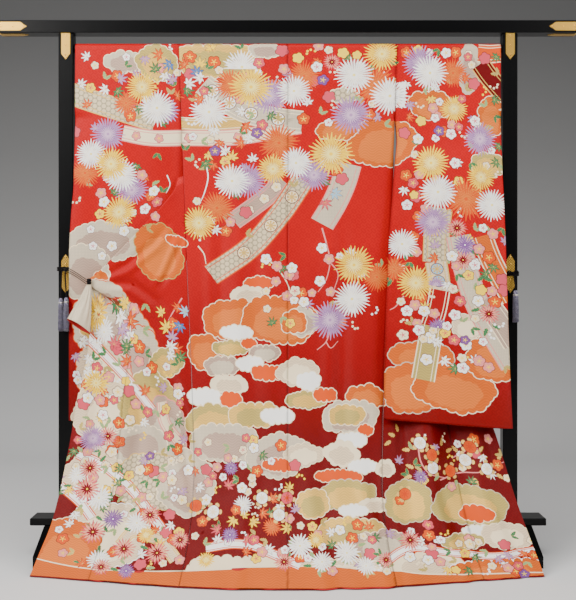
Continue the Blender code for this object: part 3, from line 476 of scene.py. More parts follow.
def sleeve_surface(side, along, across):
    """along is the flat distance from under the near layer's lower fold, over the rail, to the far one's."""
    along, across = np.broadcast_arrays(np.asarray(along, float), np.asarray(across, float))
    top = SLEEVE_FOLD / 2 + SLEEVE_HANGS
    face = np.where(along < top, 1.0, -1.0)
    fall_m = np.abs(along - top)
    fall = np.clip((fall_m - WRAP) / (SLEEVE_HANGS - WRAP), 0.0, 1.0)
    place = sleeve_layer(side, fall, across, face)
    wrap, height = over_rail(np.minimum(fall_m, WRAP), WRAP_R)
    on_rail = points(place[..., 0], face * wrap, height)
    place = np.where((fall_m < WRAP)[..., None], on_rail, place)
    near = sleeve_layer(side, np.ones_like(fall), across, 1.0)
    far = sleeve_layer(side, np.ones_like(fall), across, -1.0)
    turn = np.clip((fall_m - SLEEVE_HANGS) / (SLEEVE_FOLD / 2), 0.0, 1.0)[..., None] * math.pi / 2
    middle, half = (near + far) / 2, (far - near) / 2
    half = half * -face[..., None]
    down = np.array([0.0, 0.0, -1.0]) * length_of(half, axis=-1, keepdims=True)
    fold = middle + half * np.cos(turn) + down * np.sin(turn)
    return np.where((fall_m > SLEEVE_HANGS)[..., None], fold, place)


# %% [markdown]
# ## From flat cloth to hanging cloth
#
# Silk like this is dyed as flat cloth, so the print is drawn flat and then hung. The outlines of the
# print are cut into a sheet of small triangles, which keeps every edge of a petal sharp however near
# the camera comes. The same sheet is then bent to its surface. Flat places are (across, along) in
# metres, and the body's print runs unbroken over its seams, as on the real garment.

# %% Lines, clipping and the cut sheet
SHELL = 0.0009
CELL = 0.007


def spread(low, high, step, fine=()):
    """Places from low to high, a step apart, closer in the stretches (from, to, step)."""
    at = [low]
    while at[-1] < high:
        here = min([s for a, b, s in fine if a <= at[-1] < b] + [step])
        at.append(high if high - at[-1] < here * 1.4 else at[-1] + here)
    return np.array(at)


def clipped(outline, low, high):
    """The part of an outline that lies inside an upright box, or None."""
    if np.all(outline >= low) and np.all(outline <= high):
        return outline
    if np.any(outline.max(0) <= low) or np.any(outline.min(0) >= high):
        return None
    for axis in (0, 1):
        for limit, way in ((low[axis], 1.0), (high[axis], -1.0)):
            kept = []
            for a, b in zip(outline, np.roll(outline, -1, axis=0)):
                a_in, b_in = way * (a[axis] - limit) >= 0, way * (b[axis] - limit) >= 0
                if a_in:
                    kept.append(a)
                if a_in != b_in:
                    cut = a + (b - a) * (limit - a[axis]) / (b[axis] - a[axis])
                    cut[axis] = limit
                    kept.append(cut)
            if len(kept) < 3:
                return None
            outline = np.array(kept)
    return outline


def cut_sheet(lines_across, lines_along, outlines, seams):
    """Triangles of a flat rectangle, cut along outlines and seams.

    Returns the points, the triangles, and the number of the outline on top in each, or -1.
    """
    low = np.array([lines_across[0], lines_along[0]])
    high = np.array([lines_across[-1], lines_along[-1]])
    across, along = np.meshgrid(lines_across, lines_along, indexing="ij")
    at = [np.stack([across.ravel(), along.ravel()], axis=-1)]
    count = len(at[0])
    edges, cells, numbers, boxes = [], [], [], []
    for seam in seams:
        edges += [(count + k, count + k + 1) for k in range(len(seam) - 1)]
        at.append(np.asarray(seam, float))
        count += len(seam)
    for number, outline in enumerate(outlines):
        outline = clipped(outline, low, high)
        if outline is not None:
            x, y = outline.T
            if np.dot(x, np.roll(y, -1)) < np.dot(y, np.roll(x, -1)):
                outline = outline[::-1]
            cells.append(list(range(count, count + len(outline))))
            numbers.append(number)
            boxes.append((*outline.min(0), *outline.max(0)))
            at.append(outline)
            count += len(outline)
    at = [Vector(p) for p in np.concatenate(at)]
    found = delaunay_2d_cdt(at, edges, cells, 0, 1e-6)
    flat, faces = np.array([tuple(p) for p in found[0]]), np.array(found[2])
    top = np.full(len(faces), -1)
    for k, ((x, y), inside) in enumerate(zip(flat[faces].mean(axis=1).tolist(), found[5])):
        # An outline that crosses itself can claim triangles far away, so its box is tested too
        for cell in sorted(inside, reverse=True):
            x0, y0, x1, y1 = boxes[cell]
            if x0 <= x <= x1 and y0 <= y <= y1:
                top[k] = numbers[cell]
                break
    return flat, faces, top


# %% Hang a sheet and back it with its lining
def hung(surface, flat, step=0.0004):
    """Places and directions across the cloth's surface for points of the flat cloth."""
    p, q = flat.T
    side = surface(p + step, q) - surface(p - step, q)
    down = surface(p, q + step) - surface(p, q - step)
    normal = np.cross(side, down)
    return surface(p, q), normal / length_of(normal, axis=-1, keepdims=True)


def border_loop(faces):
    """The corners round the outside of a set of triangles, in order."""
    sides = {(a, b) for f in faces.tolist() for a, b in zip(f, f[1:] + f[:1])}
    after = {a: b for a, b in sides if (b, a) not in sides}
    start = min(after)
    loop = [start]
    while after[loop[-1]] != start:
        loop.append(after[loop[-1]])
    return loop


def piece(name, corners, faces, cloth, finishes):
    """A smooth piece from its corners and faces, with its cloth places at the faces' corners."""
    mesh = bpy.data.meshes.new(name)
    mesh.from_pydata(corners, [], faces)
    mesh.polygons.foreach_set("use_smooth", np.ones(len(faces), bool))
    uv = mesh.uv_layers.new(name="cloth")
    uv.data.foreach_set("uv", cloth.ravel())
    for finish in finishes:
        mesh.materials.append(finish)
    mesh.update()
    made = bpy.data.objects.new(name, mesh)
    bpy.context.scene.collection.objects.link(made)
    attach(made, "root")
    return made


def dye_corners(mesh, colour, figure):
    """Write a dye and a figure's number at each face corner, for the silk's finish to read."""
    dye = mesh.color_attributes.new("dye", "FLOAT_COLOR", "CORNER")
    dye.data.foreach_set("color", colour.ravel())
    kind = mesh.attributes.new("figure", "FLOAT", "CORNER")
    kind.data.foreach_set("value", figure)


def silk_piece(name, surface, out, flat, faces, top, colour_of, cloth_of, painted_shade_of, grid):
    """A closed shell: the printed face, a plain lining behind it, and a narrow rim.

    out is 1 where the printed side lies to the left of across and along, and -1 otherwise.
    """
    used, where = np.unique(faces, return_inverse=True)
    flat, faces = flat[used], where.reshape(-1, 3)
    loop = border_loop(faces)
    edge = flat[loop]
    low, high = edge.min(0), edge.max(0)
    inner = [(p, q) for p in grid[0] for q in grid[1] if low[0] < p < high[0] and low[1] < q < high[1]]
    made = delaunay_2d_cdt(
        [Vector(p) for p in np.concatenate([edge, np.array(inner)])], [], [list(range(len(loop)))], 0, 1e-6
    )
    lining_flat = np.array([tuple(p) for p in made[0]])
    back_faces = np.array([f for f, inside in zip(made[2], made[5]) if inside])
    of_border = {i: k for k, ids in enumerate(made[3]) for i in ids if i < len(loop)}

    face_place, face_normal = hung(surface, flat)
    back_place, back_normal = hung(surface, lining_flat)
    face_normal, back_normal = face_normal * out, back_normal * out
    place = np.concatenate([face_place + face_normal * SHELL / 2, back_place - back_normal * SHELL / 2])
    normal = np.concatenate([face_normal, -back_normal])
    behind = len(flat)
    front = faces if out > 0 else faces[:, ::-1]
    rear = (back_faces[:, ::-1] if out > 0 else back_faces) + behind
    ring = np.array([(a, b) for a, b in zip(range(len(loop)), list(range(1, len(loop))) + [0])])
    near = np.array(loop)[ring]
    far = np.array([[of_border[a] + behind, of_border[b] + behind] for a, b in ring])
    one = np.stack([near[:, 1], near[:, 0], far[:, 0]], axis=-1)
    two = np.stack([near[:, 1], far[:, 0], far[:, 1]], axis=-1)
    rim = np.concatenate([one, two])
    rim = rim if out > 0 else rim[:, ::-1]
    triangles = np.concatenate([front, rear, rim])

    corner = triangles.ravel()
    all_flat = np.concatenate([flat, lining_flat])
    colour = np.tile(LINING_DYE, (len(corner), 1))
    figure = np.zeros(len(corner))
    printed = len(front) * 3
    number = top[:, None].repeat(3, axis=1).ravel()
    colour[:printed] = colour_of[0][number]
    figure[:printed] = colour_of[1][number]
    # Painted shade near the seams darkens the dye of the face, the lining and the rim
    colour[:, :3] *= painted_shade_of(all_flat)[corner][:, None]
    made = piece(name, place.tolist(), triangles.tolist(), cloth_of(all_flat)[corner], [silk])
    dye_corners(made.data, colour, figure)
    made.data.normals_split_custom_set_from_vertices(normal.tolist())
    sides = place[front[:, 1:]] - place[front[:, :1]]
    area = length_of(np.cross(sides[:, 0], sides[:, 1]), axis=1).sum() / 2
    print(name, "triangles", len(triangles), "cloth area, m2", round(area, 4))
    return made


# %% [markdown]
# ## Silk, lining, and what the dyes look like
#
# One silk finish serves every width. It reads the dye's colour from the sheet, so the print stays
# where it was drawn. Fine crossed lines give the weave, a key pattern as large as a fingertip shines
# in the plain red ground as figured satin does, with a painted sheen that lightens its colour, and gold and
# silver places are more metallic.

# %% A short way to write node sums
class Sum:
    """A value in a node tree, so that sums are written as in a line of code."""

    def __init__(self, tree, socket):
        self.tree = tree
        self.socket = socket

    def math(self, operation, *others):
        node = self.tree.nodes.new("ShaderNodeMath")
        node.operation = operation
        for k, value in enumerate((self, *others)):
            if isinstance(value, Sum):
                self.tree.links.new(value.socket, node.inputs[k])
            else:
                node.inputs[k].default_value = value
        return Sum(self.tree, node.outputs[0])

    def __add__(self, other):
        return self.math("ADD", other)

    def __sub__(self, other):
        return self.math("SUBTRACT", other)

    def __mul__(self, other):
        return self.math("MULTIPLY", other)

    def near(self, value):
        """1 where this is within a half of the value."""
        return self.math("COMPARE", value, 0.5)

    def wave(self, per_metre):
        return (self * (2 * math.pi * per_metre)).math("SINE")

    def cosine(self, per_metre):
        return (self * (2 * math.pi * per_metre)).math("COSINE")


def new_material(name, colour, rough, **sockets):
    """A material with its shader, and its node tree."""
    made = bpy.data.materials.new(name)
    made.use_nodes = True
    shader = made.node_tree.nodes["Principled BSDF"]
    shader.inputs["Base Color"].default_value = (*colour, 1.0)
    shader.inputs["Roughness"].default_value = rough
    for socket, value in sockets.items():
        shader.inputs[socket.replace("_", " ")].default_value = value
    made.diffuse_color = (*colour, 1.0)
    return made, made.node_tree, shader


def cloth_place(tree):
    """The cloth's UV map, and its two parts."""
    uv = tree.nodes.new("ShaderNodeUVMap")
    uv.uv_map = "cloth"
    split = tree.nodes.new("ShaderNodeSeparateXYZ")
    tree.links.new(uv.outputs["UV"], split.inputs[0])
    return uv.outputs["UV"], Sum(tree, split.outputs[0]), Sum(tree, split.outputs[1])


def noise(tree, coordinates, scale, detail=3.0):
    node = tree.nodes.new("ShaderNodeTexNoise")
    node.inputs["Scale"].default_value = scale
    node.inputs["Detail"].default_value = detail
    tree.links.new(coordinates, node.inputs["Vector"])
    return Sum(tree, node.outputs["Fac"])


def bump(tree, shader, height, strength, distance):
    node = tree.nodes.new("ShaderNodeBump")
    node.inputs["Strength"].default_value = strength
    node.inputs["Distance"].default_value = distance
    tree.links.new(height.socket, node.inputs["Height"])
    tree.links.new(node.outputs["Normal"], shader.inputs["Normal"])


# %% The silk
LINING_DYE = (0.40, 0.012, 0.014, 0.0)
PLAIN, KEY, DAPPLE, HEXAGONS, RIPPLE = 0, 1, 2, 3, 4
# Plain dyes, and then the others with how metallic each is and which small figure it carries
PLAIN_DYES = {
    "deep_red": (0.13, 0, 0.001), "line": (0.14, 0.019, 0.013), "white": (0.97, 0.95, 0.9),
    "pearl": (0.56, 0.5, 0.5), "cream": (0.92, 0.76, 0.5), "orange": (0.7, 0.075, 0.004),
    "deep_orange": (0.62, 0.05, 0.005), "yellow": (0.98, 0.64, 0.035), "lemon": (0.99, 0.8, 0.24),
    "amber": (0.62, 0.221, 0.012), "pale_lilac": (0.6, 0.4, 0.56), "pink": (0.8, 0.25, 0.23),
    "rose": (0.66, 0.072, 0.105), "lilac": (0.42, 0.23, 0.43), "violet": (0.185, 0.065, 0.26),
    "pale_blue": (0.297, 0.516, 0.68), "blue": (0.041, 0.16, 0.42), "green": (0.035, 0.17, 0.064),
    "sage": (0.255, 0.38, 0.154), "brown": (0.17, 0.044, 0.014),
}
DYES = {name: (colour, 0.0, PLAIN) for name, colour in PLAIN_DYES.items()}
DYES |= {
    "red": ((0.42, 0, 0.002), 0, KEY),
    "dappled_red": ((0.33, 0.002, 0.003), 0, DAPPLE),
    "beige": ((0.7, 0.54, 0.35), 0.1, RIPPLE),
    "gold": ((0.66, 0.401, 0.088), 0.7, RIPPLE),
    "gold_line": ((0.72, 0.448, 0.119), 0.8, PLAIN),
    "olive_gold": ((0.44, 0.327, 0.09), 0.5, RIPPLE),
    "silver": ((0.56, 0.47, 0.34), 0.3, DAPPLE),
    "taupe": ((0.42, 0.29, 0.22), 0.3, RIPPLE),
    "lattice": ((0.66, 0.54, 0.34), 0.3, HEXAGONS),
    "dappled_orange": ((0.56, 0.1, 0.007), 0, RIPPLE),
    "worn_orange": ((0.64, 0.15, 0.02), 0.1, RIPPLE),
}


def make_silk():
    made, tree, shader = new_material("silk", (0.5, 0.01, 0.01), 0.46, Specular_IOR_Level=0.14)
    nodes, links = tree.nodes, tree.links
    where, across, along = cloth_place(tree)
    dye = nodes.new("ShaderNodeVertexColor")
    dye.layer_name = "dye"
    kind = nodes.new("ShaderNodeAttribute")
    kind.attribute_name = "figure"
    figure = Sum(tree, kind.outputs["Fac"])
    metal = Sum(tree, dye.outputs["Alpha"])

    # Key pattern: steps that turn at right angles, in a lozenge
    u, v = across + along, across - along
    step = (u.wave(34.0).math("SIGN") * v.wave(34.0).math("SIGN")) * 0.5 + 0.5
    bars = (u.wave(102.0) * step) + (v.wave(102.0) * (step * -1.0 + 1.0))
    key = bars.math("GREATER_THAN", 0.0) * figure.near(KEY)
    # Dapple: the small white dots of tied dyeing, in offset rows
    dots = (u.wave(115.0) * v.wave(115.0)).math("GREATER_THAN", 0.55) * figure.near(DAPPLE)
    ripple = (along + across.wave(24.0) * 0.006).wave(125.0).math("GREATER_THAN", 0.6) * figure.near(RIPPLE)
    # Hexagons: three waves at a third of a turn, low along the cells' borders
    slant = (across * 0.5 + along * 0.866, across * 0.5 - along * 0.866)
    honey = across.cosine(72.0) + slant[0].cosine(72.0) + slant[1].cosine(72.0)
    comb = honey.math("LESS_THAN", -0.80) * figure.near(HEXAGONS)
    thread = across.wave(1400.0) * along.wave(1400.0)

    # The key is painted lighter, a painted sheen; its lower roughness below gives it a real shine as well
    light = key * 0.16 + dots * 0.35 + ripple * 0.18 - comb * 0.45 + 1.0
    cloud = noise(tree, where, 9.0)
    light = light * (cloud * 0.22 + 0.89)
    # The plain red is dyed deeper towards the hem and the foot of the sleeves
    deeper = (along.math("ABSOLUTE") - 0.62).math("MAXIMUM", 0.0).math("MINIMUM", 0.62)
    light = light * (deeper * (figure.near(KEY) * -1.12) + 1.0)
    tint = nodes.new("ShaderNodeVectorMath")
    tint.operation = "SCALE"
    links.new(dye.outputs["Color"], tint.inputs[0])
    links.new(light.socket, tint.inputs["Scale"])
    links.new(tint.outputs[0], shader.inputs["Base Color"])
    links.new((metal * 0.55).socket, shader.inputs["Metallic"])
    links.new((cloud * 0.12 - key * 0.12 - metal * 0.10 + 0.44).socket, shader.inputs["Roughness"])
    bump(tree, shader, thread * 0.5 + key * 0.6 + cloud * 2.0, 0.35, 0.0003)
    return made


silk = make_silk()


# %% [markdown]
# ## Flat places on the garment
#
# The body's print is drawn in one flat picture: across from the middle seam, and along from the
# shoulder. Each width then finds its own part of it. The real length of the cloth is measured down
# the middle of the back, because the silk is longer than its drop where it slopes to the floor.

# %% From the flat picture to each width
BACK_WIDE, RIGHT_FLAT, LEFT_FLAT = 0.300, 0.40, 0.45
# Heights of the tips of both overlaps, the right body width's own cloth, and its share at the tip
OKUMI_TIP, LEFT_TIP = 1.25, 1.12
FRONT_BODY, OKUMI_LEAST = 0.245, 0.985
drop_steps = np.linspace(0.0, LOW, 400)
down_middle = back_surface(drop_steps, np.zeros(400))
ARC = np.append(0.0, np.cumsum(length_of(np.diff(down_middle, axis=0), axis=1)))
print("length of the back, m:", round(ARC[-1], 3))


def drop_of(along):
    return np.interp(along, ARC, drop_steps)


def along_of(drop):
    return np.interp(drop, drop_steps, ARC)


def height_of(drop):
    return RAIL_Z + WRAP - drop


left_rows = np.linspace(0.0, LOW, 240)
left_columns = np.linspace(0.0, LEFT_COLUMNS, 61)
left_places = left_front_surface(left_rows[:, None], left_columns[None, :])
LEFT_ARC = np.cumsum(length_of(np.diff(left_places, axis=1, prepend=left_places[:, :1]), axis=2), axis=1)


def left_row(drop):
    at = np.clip(drop / LOW, 0.0, 1.0) * (len(left_rows) - 1.001)
    low = at.astype(int)
    part = (at - low)[:, None]
    return LEFT_ARC[low] * (1 - part) + LEFT_ARC[low + 1] * part


def left_column(across, drop):
    """The column of the left front that lies a real distance from the side seam."""
    arcs = left_row(drop)
    k = np.clip((arcs < across[:, None]).sum(axis=1) - 1, 0, arcs.shape[1] - 2)
    row = np.arange(len(k))
    return (k + (across - arcs[row, k]) / (arcs[row, k + 1] - arcs[row, k])) * left_columns[1]


def front_width(drop):
    return course_at(FRONT_WIDTH, height_of(drop), "cloth")


def okumi_seam(drop):
    """Share of the right front's width that the body width takes, from the overlap's tip down."""
    seam = FRONT_BODY / np.maximum(front_width(drop), FRONT_BODY)
    grown = 1 - ease(height_of(drop), OKUMI_TIP - 0.25, OKUMI_TIP)
    return OKUMI_LEAST + (seam - OKUMI_LEAST) * grown


def groove(distance):
    """How far a seam sinks, at a distance from it."""
    return 0.0010 * np.exp(-((distance / 0.0016) ** 2))


def back_cloth(p, q):
    place = back_surface(q, p / BACK_WIDE)
    place[..., 1] += groove(p) + groove(BACK_WIDE - np.abs(p))
    return place


def right_cloth(p, q):
    place = right_front_surface(q, p / RIGHT_FLAT)
    place[..., 1] += groove(p - okumi_seam(q) * RIGHT_FLAT)
    return place


def left_cloth(p, q):
    place = left_front_surface(q, p / LEFT_FLAT * LEFT_COLUMNS)
    place[..., 1] += groove(p - LEFT_SEAM_AT) * ease(q, height_of(1.12), height_of(1.0))
    return place


LEFT_SEAM_AT = LEFT_SEAM / LEFT_COLUMNS * LEFT_FLAT


def onto_back(outline):
    return np.stack([outline[:, 0], drop_of(outline[:, 1])], axis=-1)


def onto_right(outline):
    drop = drop_of(outline[:, 1])
    return np.stack([(outline[:, 0] - BACK_WIDE) / front_width(drop) * RIGHT_FLAT, drop], axis=-1)


def onto_left(outline):
    drop = drop_of(outline[:, 1])
    column = left_column(-outline[:, 0] - BACK_WIDE, drop)
    return np.stack([column / LEFT_COLUMNS * LEFT_FLAT, drop], axis=-1)


def back_flat(flat):
    return np.stack([flat[:, 0], along_of(flat[:, 1])], axis=-1)


def right_flat(flat):
    across = flat[:, 0] / RIGHT_FLAT * front_width(flat[:, 1]) + BACK_WIDE
    return np.stack([across, along_of(flat[:, 1])], axis=-1)


def left_flat(flat):
    arcs = left_row(flat[:, 1])
    at = np.clip(flat[:, 0] / LEFT_FLAT, 0.0, 1.0) * (arcs.shape[1] - 1.001)
    low = at.astype(int)
    row = np.arange(len(low))
    across = arcs[row, low] + (arcs[row, low + 1] - arcs[row, low]) * (at - low)
    return np.stack([-BACK_WIDE - across, along_of(flat[:, 1])], axis=-1)


SLEEVE_TOP = SLEEVE_FOLD / 2 + SLEEVE_HANGS


def sleeve_cloth(side):
    def surface(p, q):
        return sleeve_surface(side, q, p / SLEEVE_WIDE)

    return surface


def sleeve_flat(side):
    """To a sleeve's flat picture and back: down the near side and, with a minus, down the far one."""

    def place(flat):
        return np.stack([flat[:, 0] * side, SLEEVE_TOP - flat[:, 1]], axis=-1)

    return place


# %% [markdown]
# ## Where the camera sees each place
#
# To set a flower where the photograph has one, its place in the picture is turned into a place on
# the flat cloth. Each sheet is sampled all over, and the sample seen nearest to the wanted place is
# taken. This is only how a motif's middle is found; its outline is drawn by rule.

# %% Find flat places from the camera's view
def seen(place):
    depth = EYE_BACK + place[..., 1] - RAIL_Y
    scale = PIXELS_PER_M * EYE_BACK / depth
    across = PHOTO_WIDE / 2 + place[..., 0] * scale
    return np.stack([across, EYE_ROW - (place[..., 2] - EYE_HEIGHT) * scale], axis=-1)


def samples(surface, to_cloth, high_across, low_along, high_along, low_across=0.0):
    across, along = np.meshgrid(
        np.arange(low_across, high_across, 0.004), np.arange(low_along, high_along, 0.004), indexing="ij"
    )
    flat = np.stack([across.ravel(), along.ravel()], axis=-1)
    return seen(surface(flat[:, 0], flat[:, 1])), to_cloth(flat)


turned_at = OUT_COLUMNS / LEFT_COLUMNS * LEFT_FLAT
body_samples = [
    samples(back_cloth, back_flat, 0.302, 0.0, LOW, -0.302),
    samples(right_cloth, right_flat, RIGHT_FLAT, height_of(0.46), LOW),
    samples(left_cloth, left_flat, turned_at, height_of(1.12), height_of(0.68)),
    samples(left_cloth, left_flat, LEFT_FLAT, height_of(0.68), LOW),
]
SEEN = {
    "body": [np.concatenate(parts) for parts in zip(*body_samples)],
    "right": samples(sleeve_cloth(1), sleeve_flat(1), SLEEVE_WIDE, 0.006, SLEEVE_TOP),
    "left": samples(sleeve_cloth(-1), sleeve_flat(-1), SLEEVE_WIDE, 0.006, SLEEVE_TOP),
}


def on_cloth(sheet, x, y):
    """The flat place of a sheet that is seen at a pixel, and how many pixels off the sheet that is."""
    pixels, flat = SEEN[sheet]
    off = np.array([x, y]) - pixels
    near = np.argmin((off**2).sum(axis=1))
    return flat[near] + off[near] / PIXELS_PER_M, np.hypot(*off[near])


# %% [markdown]
# ## The shapes of the print
#
# The silk carries the usual autumn and spring things: thread-petalled chrysanthemums, plum and cherry
# blossom, maple leaves, ribbons and banks of cloud. Each shape is one closed outline drawn by rule,
# and a motif is a few outlines laid over each other. A ring of petals is a single outline whose
# valleys let the ground show through.

# %% Outlines
# The print: for each sheet, outlines with their dyes, from the lowest to the uppermost
PRINT = {"body": [], "right": [], "left": []}


def put(sheet, outline, dye):
    if outline is not None:
        PRINT[sheet].append((np.asarray(outline, float), dye))


def turned(outline, angle):
    c, s = math.cos(angle), math.sin(angle)
    return np.asarray(outline) @ np.array([[c, s], [-s, c]])


def rounds(angle):
    """Places on a circle of one metre."""
    return np.stack([np.cos(angle), np.sin(angle)], axis=-1)


def disc(at, size, sides=14):
    angle = np.arange(sides) * 2 * math.pi / sides
    return at + size * rounds(angle)


def ring_of(at, size, petals, profile, turn, uneven=1.0):
    """One outline of a profile of (share of a petal's turn, share of the size), repeated round a place."""
    way, reach = np.array(profile).T
    angle = (np.arange(petals)[:, None] + way) * (2 * math.pi / petals) + turn
    reach = size * reach * uneven * np.ones_like(angle)
    return at + np.stack([(reach * np.cos(angle)).ravel(), (reach * np.sin(angle)).ravel()], axis=-1)


def petal_ring(at, size, petals, inner, wide, hook=0.0, turn=0.0):
    """A ring of round petals that meet at the share inner of its reach."""
    profile = [(-0.5, inner), (-0.30 * wide, 0.60), (-0.33 * wide, 0.88), (hook - 0.12, 1.0)]
    profile += [(hook + 0.14, 0.99), (0.33 * wide, 0.86), (0.27 * wide, 0.60)]
    return ring_of(at, size, petals, profile, turn)


# Each family: outer petals, shade, middle petals, shade, inner petals, core
MUM_DYES = {
    "white": ("white", "pearl", "white", "cream", "white", "lemon"),
    "yellow": ("yellow", "amber", "yellow", "amber", "lemon", "yellow"),
    "orange": ("orange", "deep_orange", "worn_orange", "deep_orange", "worn_orange", "orange"),
    "lilac": ("lilac", "violet", "lilac", "violet", "pale_lilac", "lilac"),
    "red": ("rose", "gold_line", "pink", "rose", "deep_red", "yellow"),
    "violet": ("violet", "pale_lilac", "violet", "lilac", "violet", "white"),
}


def threads(at, size, petals, inner, wide, hook, turn):
    """A ring of thin pointed petals that curl a little to one side, and are unevenly long."""
    profile = [(-0.5, inner), (-0.24 * wide, 0.70), (hook - 0.07, 1.0), (hook + 0.08, 0.98)]
    profile.append((0.30 * wide, 0.68))
    uneven = 1 + 0.07 * np.sin(np.arange(petals)[:, None] * 2.3 + turn * 5)
    uneven = np.where(np.array(profile)[:, 1] > 0.5, uneven, 1.0)
    return ring_of(at, size, petals, profile, turn, uneven)


def mum(sheet, at, size, family, turn=0.0, half=False):
    """A chrysanthemum of thread-like petals in three rings."""
    outer, shade, middle, deep, inner, core = MUM_DYES[family]
    petals = 31 if size > 0.04 else 20
    rings = [
        (threads(at, size, petals, 0.36, 1.20, 0.12, turn), outer),
        (threads(at, size * 0.80, petals - 4, 0.42, 1.30, 0.10, turn + 0.1), shade),
        (threads(at, size * 0.77, petals - 4, 0.30, 0.95, 0.10, turn + 0.1), middle),
        (threads(at, size * 0.50, petals - 9, 0.50, 1.40, -0.08, turn), deep),
        (threads(at, size * 0.46, petals - 9, 0.38, 1.15, -0.08, turn), inner),
        (disc(at, size * 0.08, 9), core),
    ]
    for outline, dye in rings:
        if half:
            outline = clipped(outline, at - 1, at + [1, size * 0.12])
        put(sheet, outline, dye)


def blossom(sheet, at, size, dye, core="yellow", turn=0.0):
    """A plum or cherry flower of five round petals."""
    angle = np.arange(35) * 2 * math.pi / 35
    lobe = np.abs(np.cos(angle * 2.5)) ** 0.55
    for reach, colour in ((1.10, "line"), (1.0, dye)):
        round_it = size * reach * (0.66 + 0.34 * lobe)
        outline = rounds(angle + turn) * round_it[:, None]
        put(sheet, at + outline, colour)
    put(sheet, petal_ring(at, size * 0.50, 5, 0.25, 0.40, 0.0, turn), core)


MAPLE = table(
    "angle reach",
    (-2.9, 0.16), (-2.5, 0.34), (-2.25, 0.56), (-1.95, 0.34), (-1.6, 0.62), (-1.42, 0.84), (-1.2, 0.6),
    (-1.0, 0.36), (-0.82, 0.66), (-0.68, 1.0), (-0.5, 0.66), (-0.34, 0.38), (-0.14, 0.74), (0.0, 1.12),
)


def maple(sheet, at, size, dye, turn=0.0):
    """A maple leaf of seven pointed lobes, with its veins and stalk."""
    angle = np.concatenate([MAPLE["angle"], -MAPLE["angle"][-2::-1]])
    reach = np.concatenate([MAPLE["reach"], MAPLE["reach"][-2::-1]])
    lobes = rounds(angle) * reach[:, None]
    put(sheet, at + turned(lobes * 1.12, turn) * size, "line")
    put(sheet, at + turned(lobes, turn) * size, dye)
    for vein in (-1.4, -0.7, 0.0, 0.7, 1.4):
        thin = np.array([(0.0, -0.02), (0.80 - 0.16 * abs(vein), 0.0), (0.0, 0.02)])
        put(sheet, at + turned(turned(thin, vein), turn) * size, "gold_line")
    put(sheet, at + turned([(-0.62, -0.03), (0.0, -0.035), (0.0, 0.035), (-0.62, 0.0)], turn) * size, "brown")


def leaf(sheet, at, long, wide, turn, dye="green", vein="sage"):
    """A lobed leaf, from its stalk at a place, with a middle vein."""
    side = [(0.06, 0.25), (0.25, 0.95), (0.33, 0.62), (0.52, 1.0), (0.62, 0.60), (0.80, 0.62), (1.0, 0.0)]
    half = np.array(side) * [long, wide / 2]
    whole = np.concatenate([half, (half * [1, -1])[-2::-1]])
    put(sheet, at + turned(whole * [1.06, 1.14] - [long * 0.03, 0], turn), "gold_line")
    put(sheet, at + turned(whole, turn), dye)
    rib = [(0.05 * long, -0.02 * wide), (0.9 * long, 0.0), (0.05 * long, 0.02 * wide)]
    put(sheet, at + turned(rib, turn), vein)


def through(places, per=6):
    """A smooth curve through a few places."""
    places = np.asarray(places, float)
    knots = np.arange(len(places))
    at = np.linspace(0, len(places) - 1, (len(places) - 1) * per + 1)
    slope = np.gradient(places, axis=0)
    i = np.clip(at.astype(int), 0, len(places) - 2)
    t = (at - knots[i])[:, None]
    return blend(places[i], places[i + 1], slope[i], slope[i + 1], t)


def strip(line, half):
    """The outline of a strip along a line, half as wide as twice half."""
    way = np.gradient(line, axis=0)
    side = np.stack([-way[:, 1], way[:, 0]], axis=-1) / length_of(way, axis=1, keepdims=True)
    half = np.broadcast_to(half, len(line))[:, None]
    return np.concatenate([line + side * half, (line - side * half)[::-1]])


# The second tone inside a bank of cloud
INNER_TONE = {
    "silver": "taupe",
    "olive_gold": "gold",
    "gold": "olive_gold",
    "cream": "beige",
    "beige": "cream",
    "taupe": "silver",
    "dappled_orange": "worn_orange",
}


def scallops(middles, radii, points=5):
    """One outline round a closed row of discs that overlap: the arc that shows of each disc."""

    def facing(other, its_radius):
        way = other - middles
        apart = length_of(way, axis=1)
        share = (apart**2 + radii**2 - its_radius**2) / (2 * apart * radii)
        return np.arctan2(way[:, 1], way[:, 0]), np.arccos(np.clip(share, -1.0, 1.0))

    before, covered_before = facing(np.roll(middles, 1, axis=0), np.roll(radii, 1))
    after, covered_after = facing(np.roll(middles, -1, axis=0), np.roll(radii, -1))
    start = before + covered_before
    quarter = math.pi / 2
    span = (after - covered_after - start + quarter) % (2 * math.pi) - quarter
    angle = start[:, None] + span[:, None] * np.linspace(0.0, 1.0, points)
    arcs = rounds(angle) * radii[:, None, None]
    return (middles[:, None, :] + arcs).reshape(-1, 2)


def bank(sheet, low, high, fill, edge, turn=0.0):
    """A bank of cloud: small round lobes about an uneven oval, with a border line."""
    middle, half = (low + high) / 2, (high - low) / 2
    reach = np.clip(0.40 * half.min(), 0.006, 0.0150)
    inner = np.maximum(half - reach, 0.004)
    around = math.pi * (inner.sum() * 1.5 - math.sqrt(inner.prod()))
    bumps = max(7, int(around / (reach * 1.30)))
    angle = (np.arange(bumps) + turn) * 2 * math.pi / bumps
    uneven = 1 + 0.13 * np.sin(3 * angle + turn * 7) * np.cos(angle + turn)
    lobes = middle + rounds(angle) * inner * uneven[:, None]
    size = reach * (1 + 0.16 * np.sin(np.arange(bumps) * 2.4 + turn))
    for grow, dye in ((0.0026, edge), (0.0, fill)):
        put(sheet, scallops(lobes, size + grow), dye)
    if fill in INNER_TONE:
        inside = middle + (lobes - middle) * 0.66 + [0.0, half[1] * 0.16]
        put(sheet, scallops(inside, size * 0.78), INNER_TONE[fill])


# %% [markdown]
# ## Where each motif lies
#
# The tables give a motif's middle and size in the camera's view, in pixels. A motif near a seam is
# drawn on both of the sheets that meet there, so that it runs on across the seam.

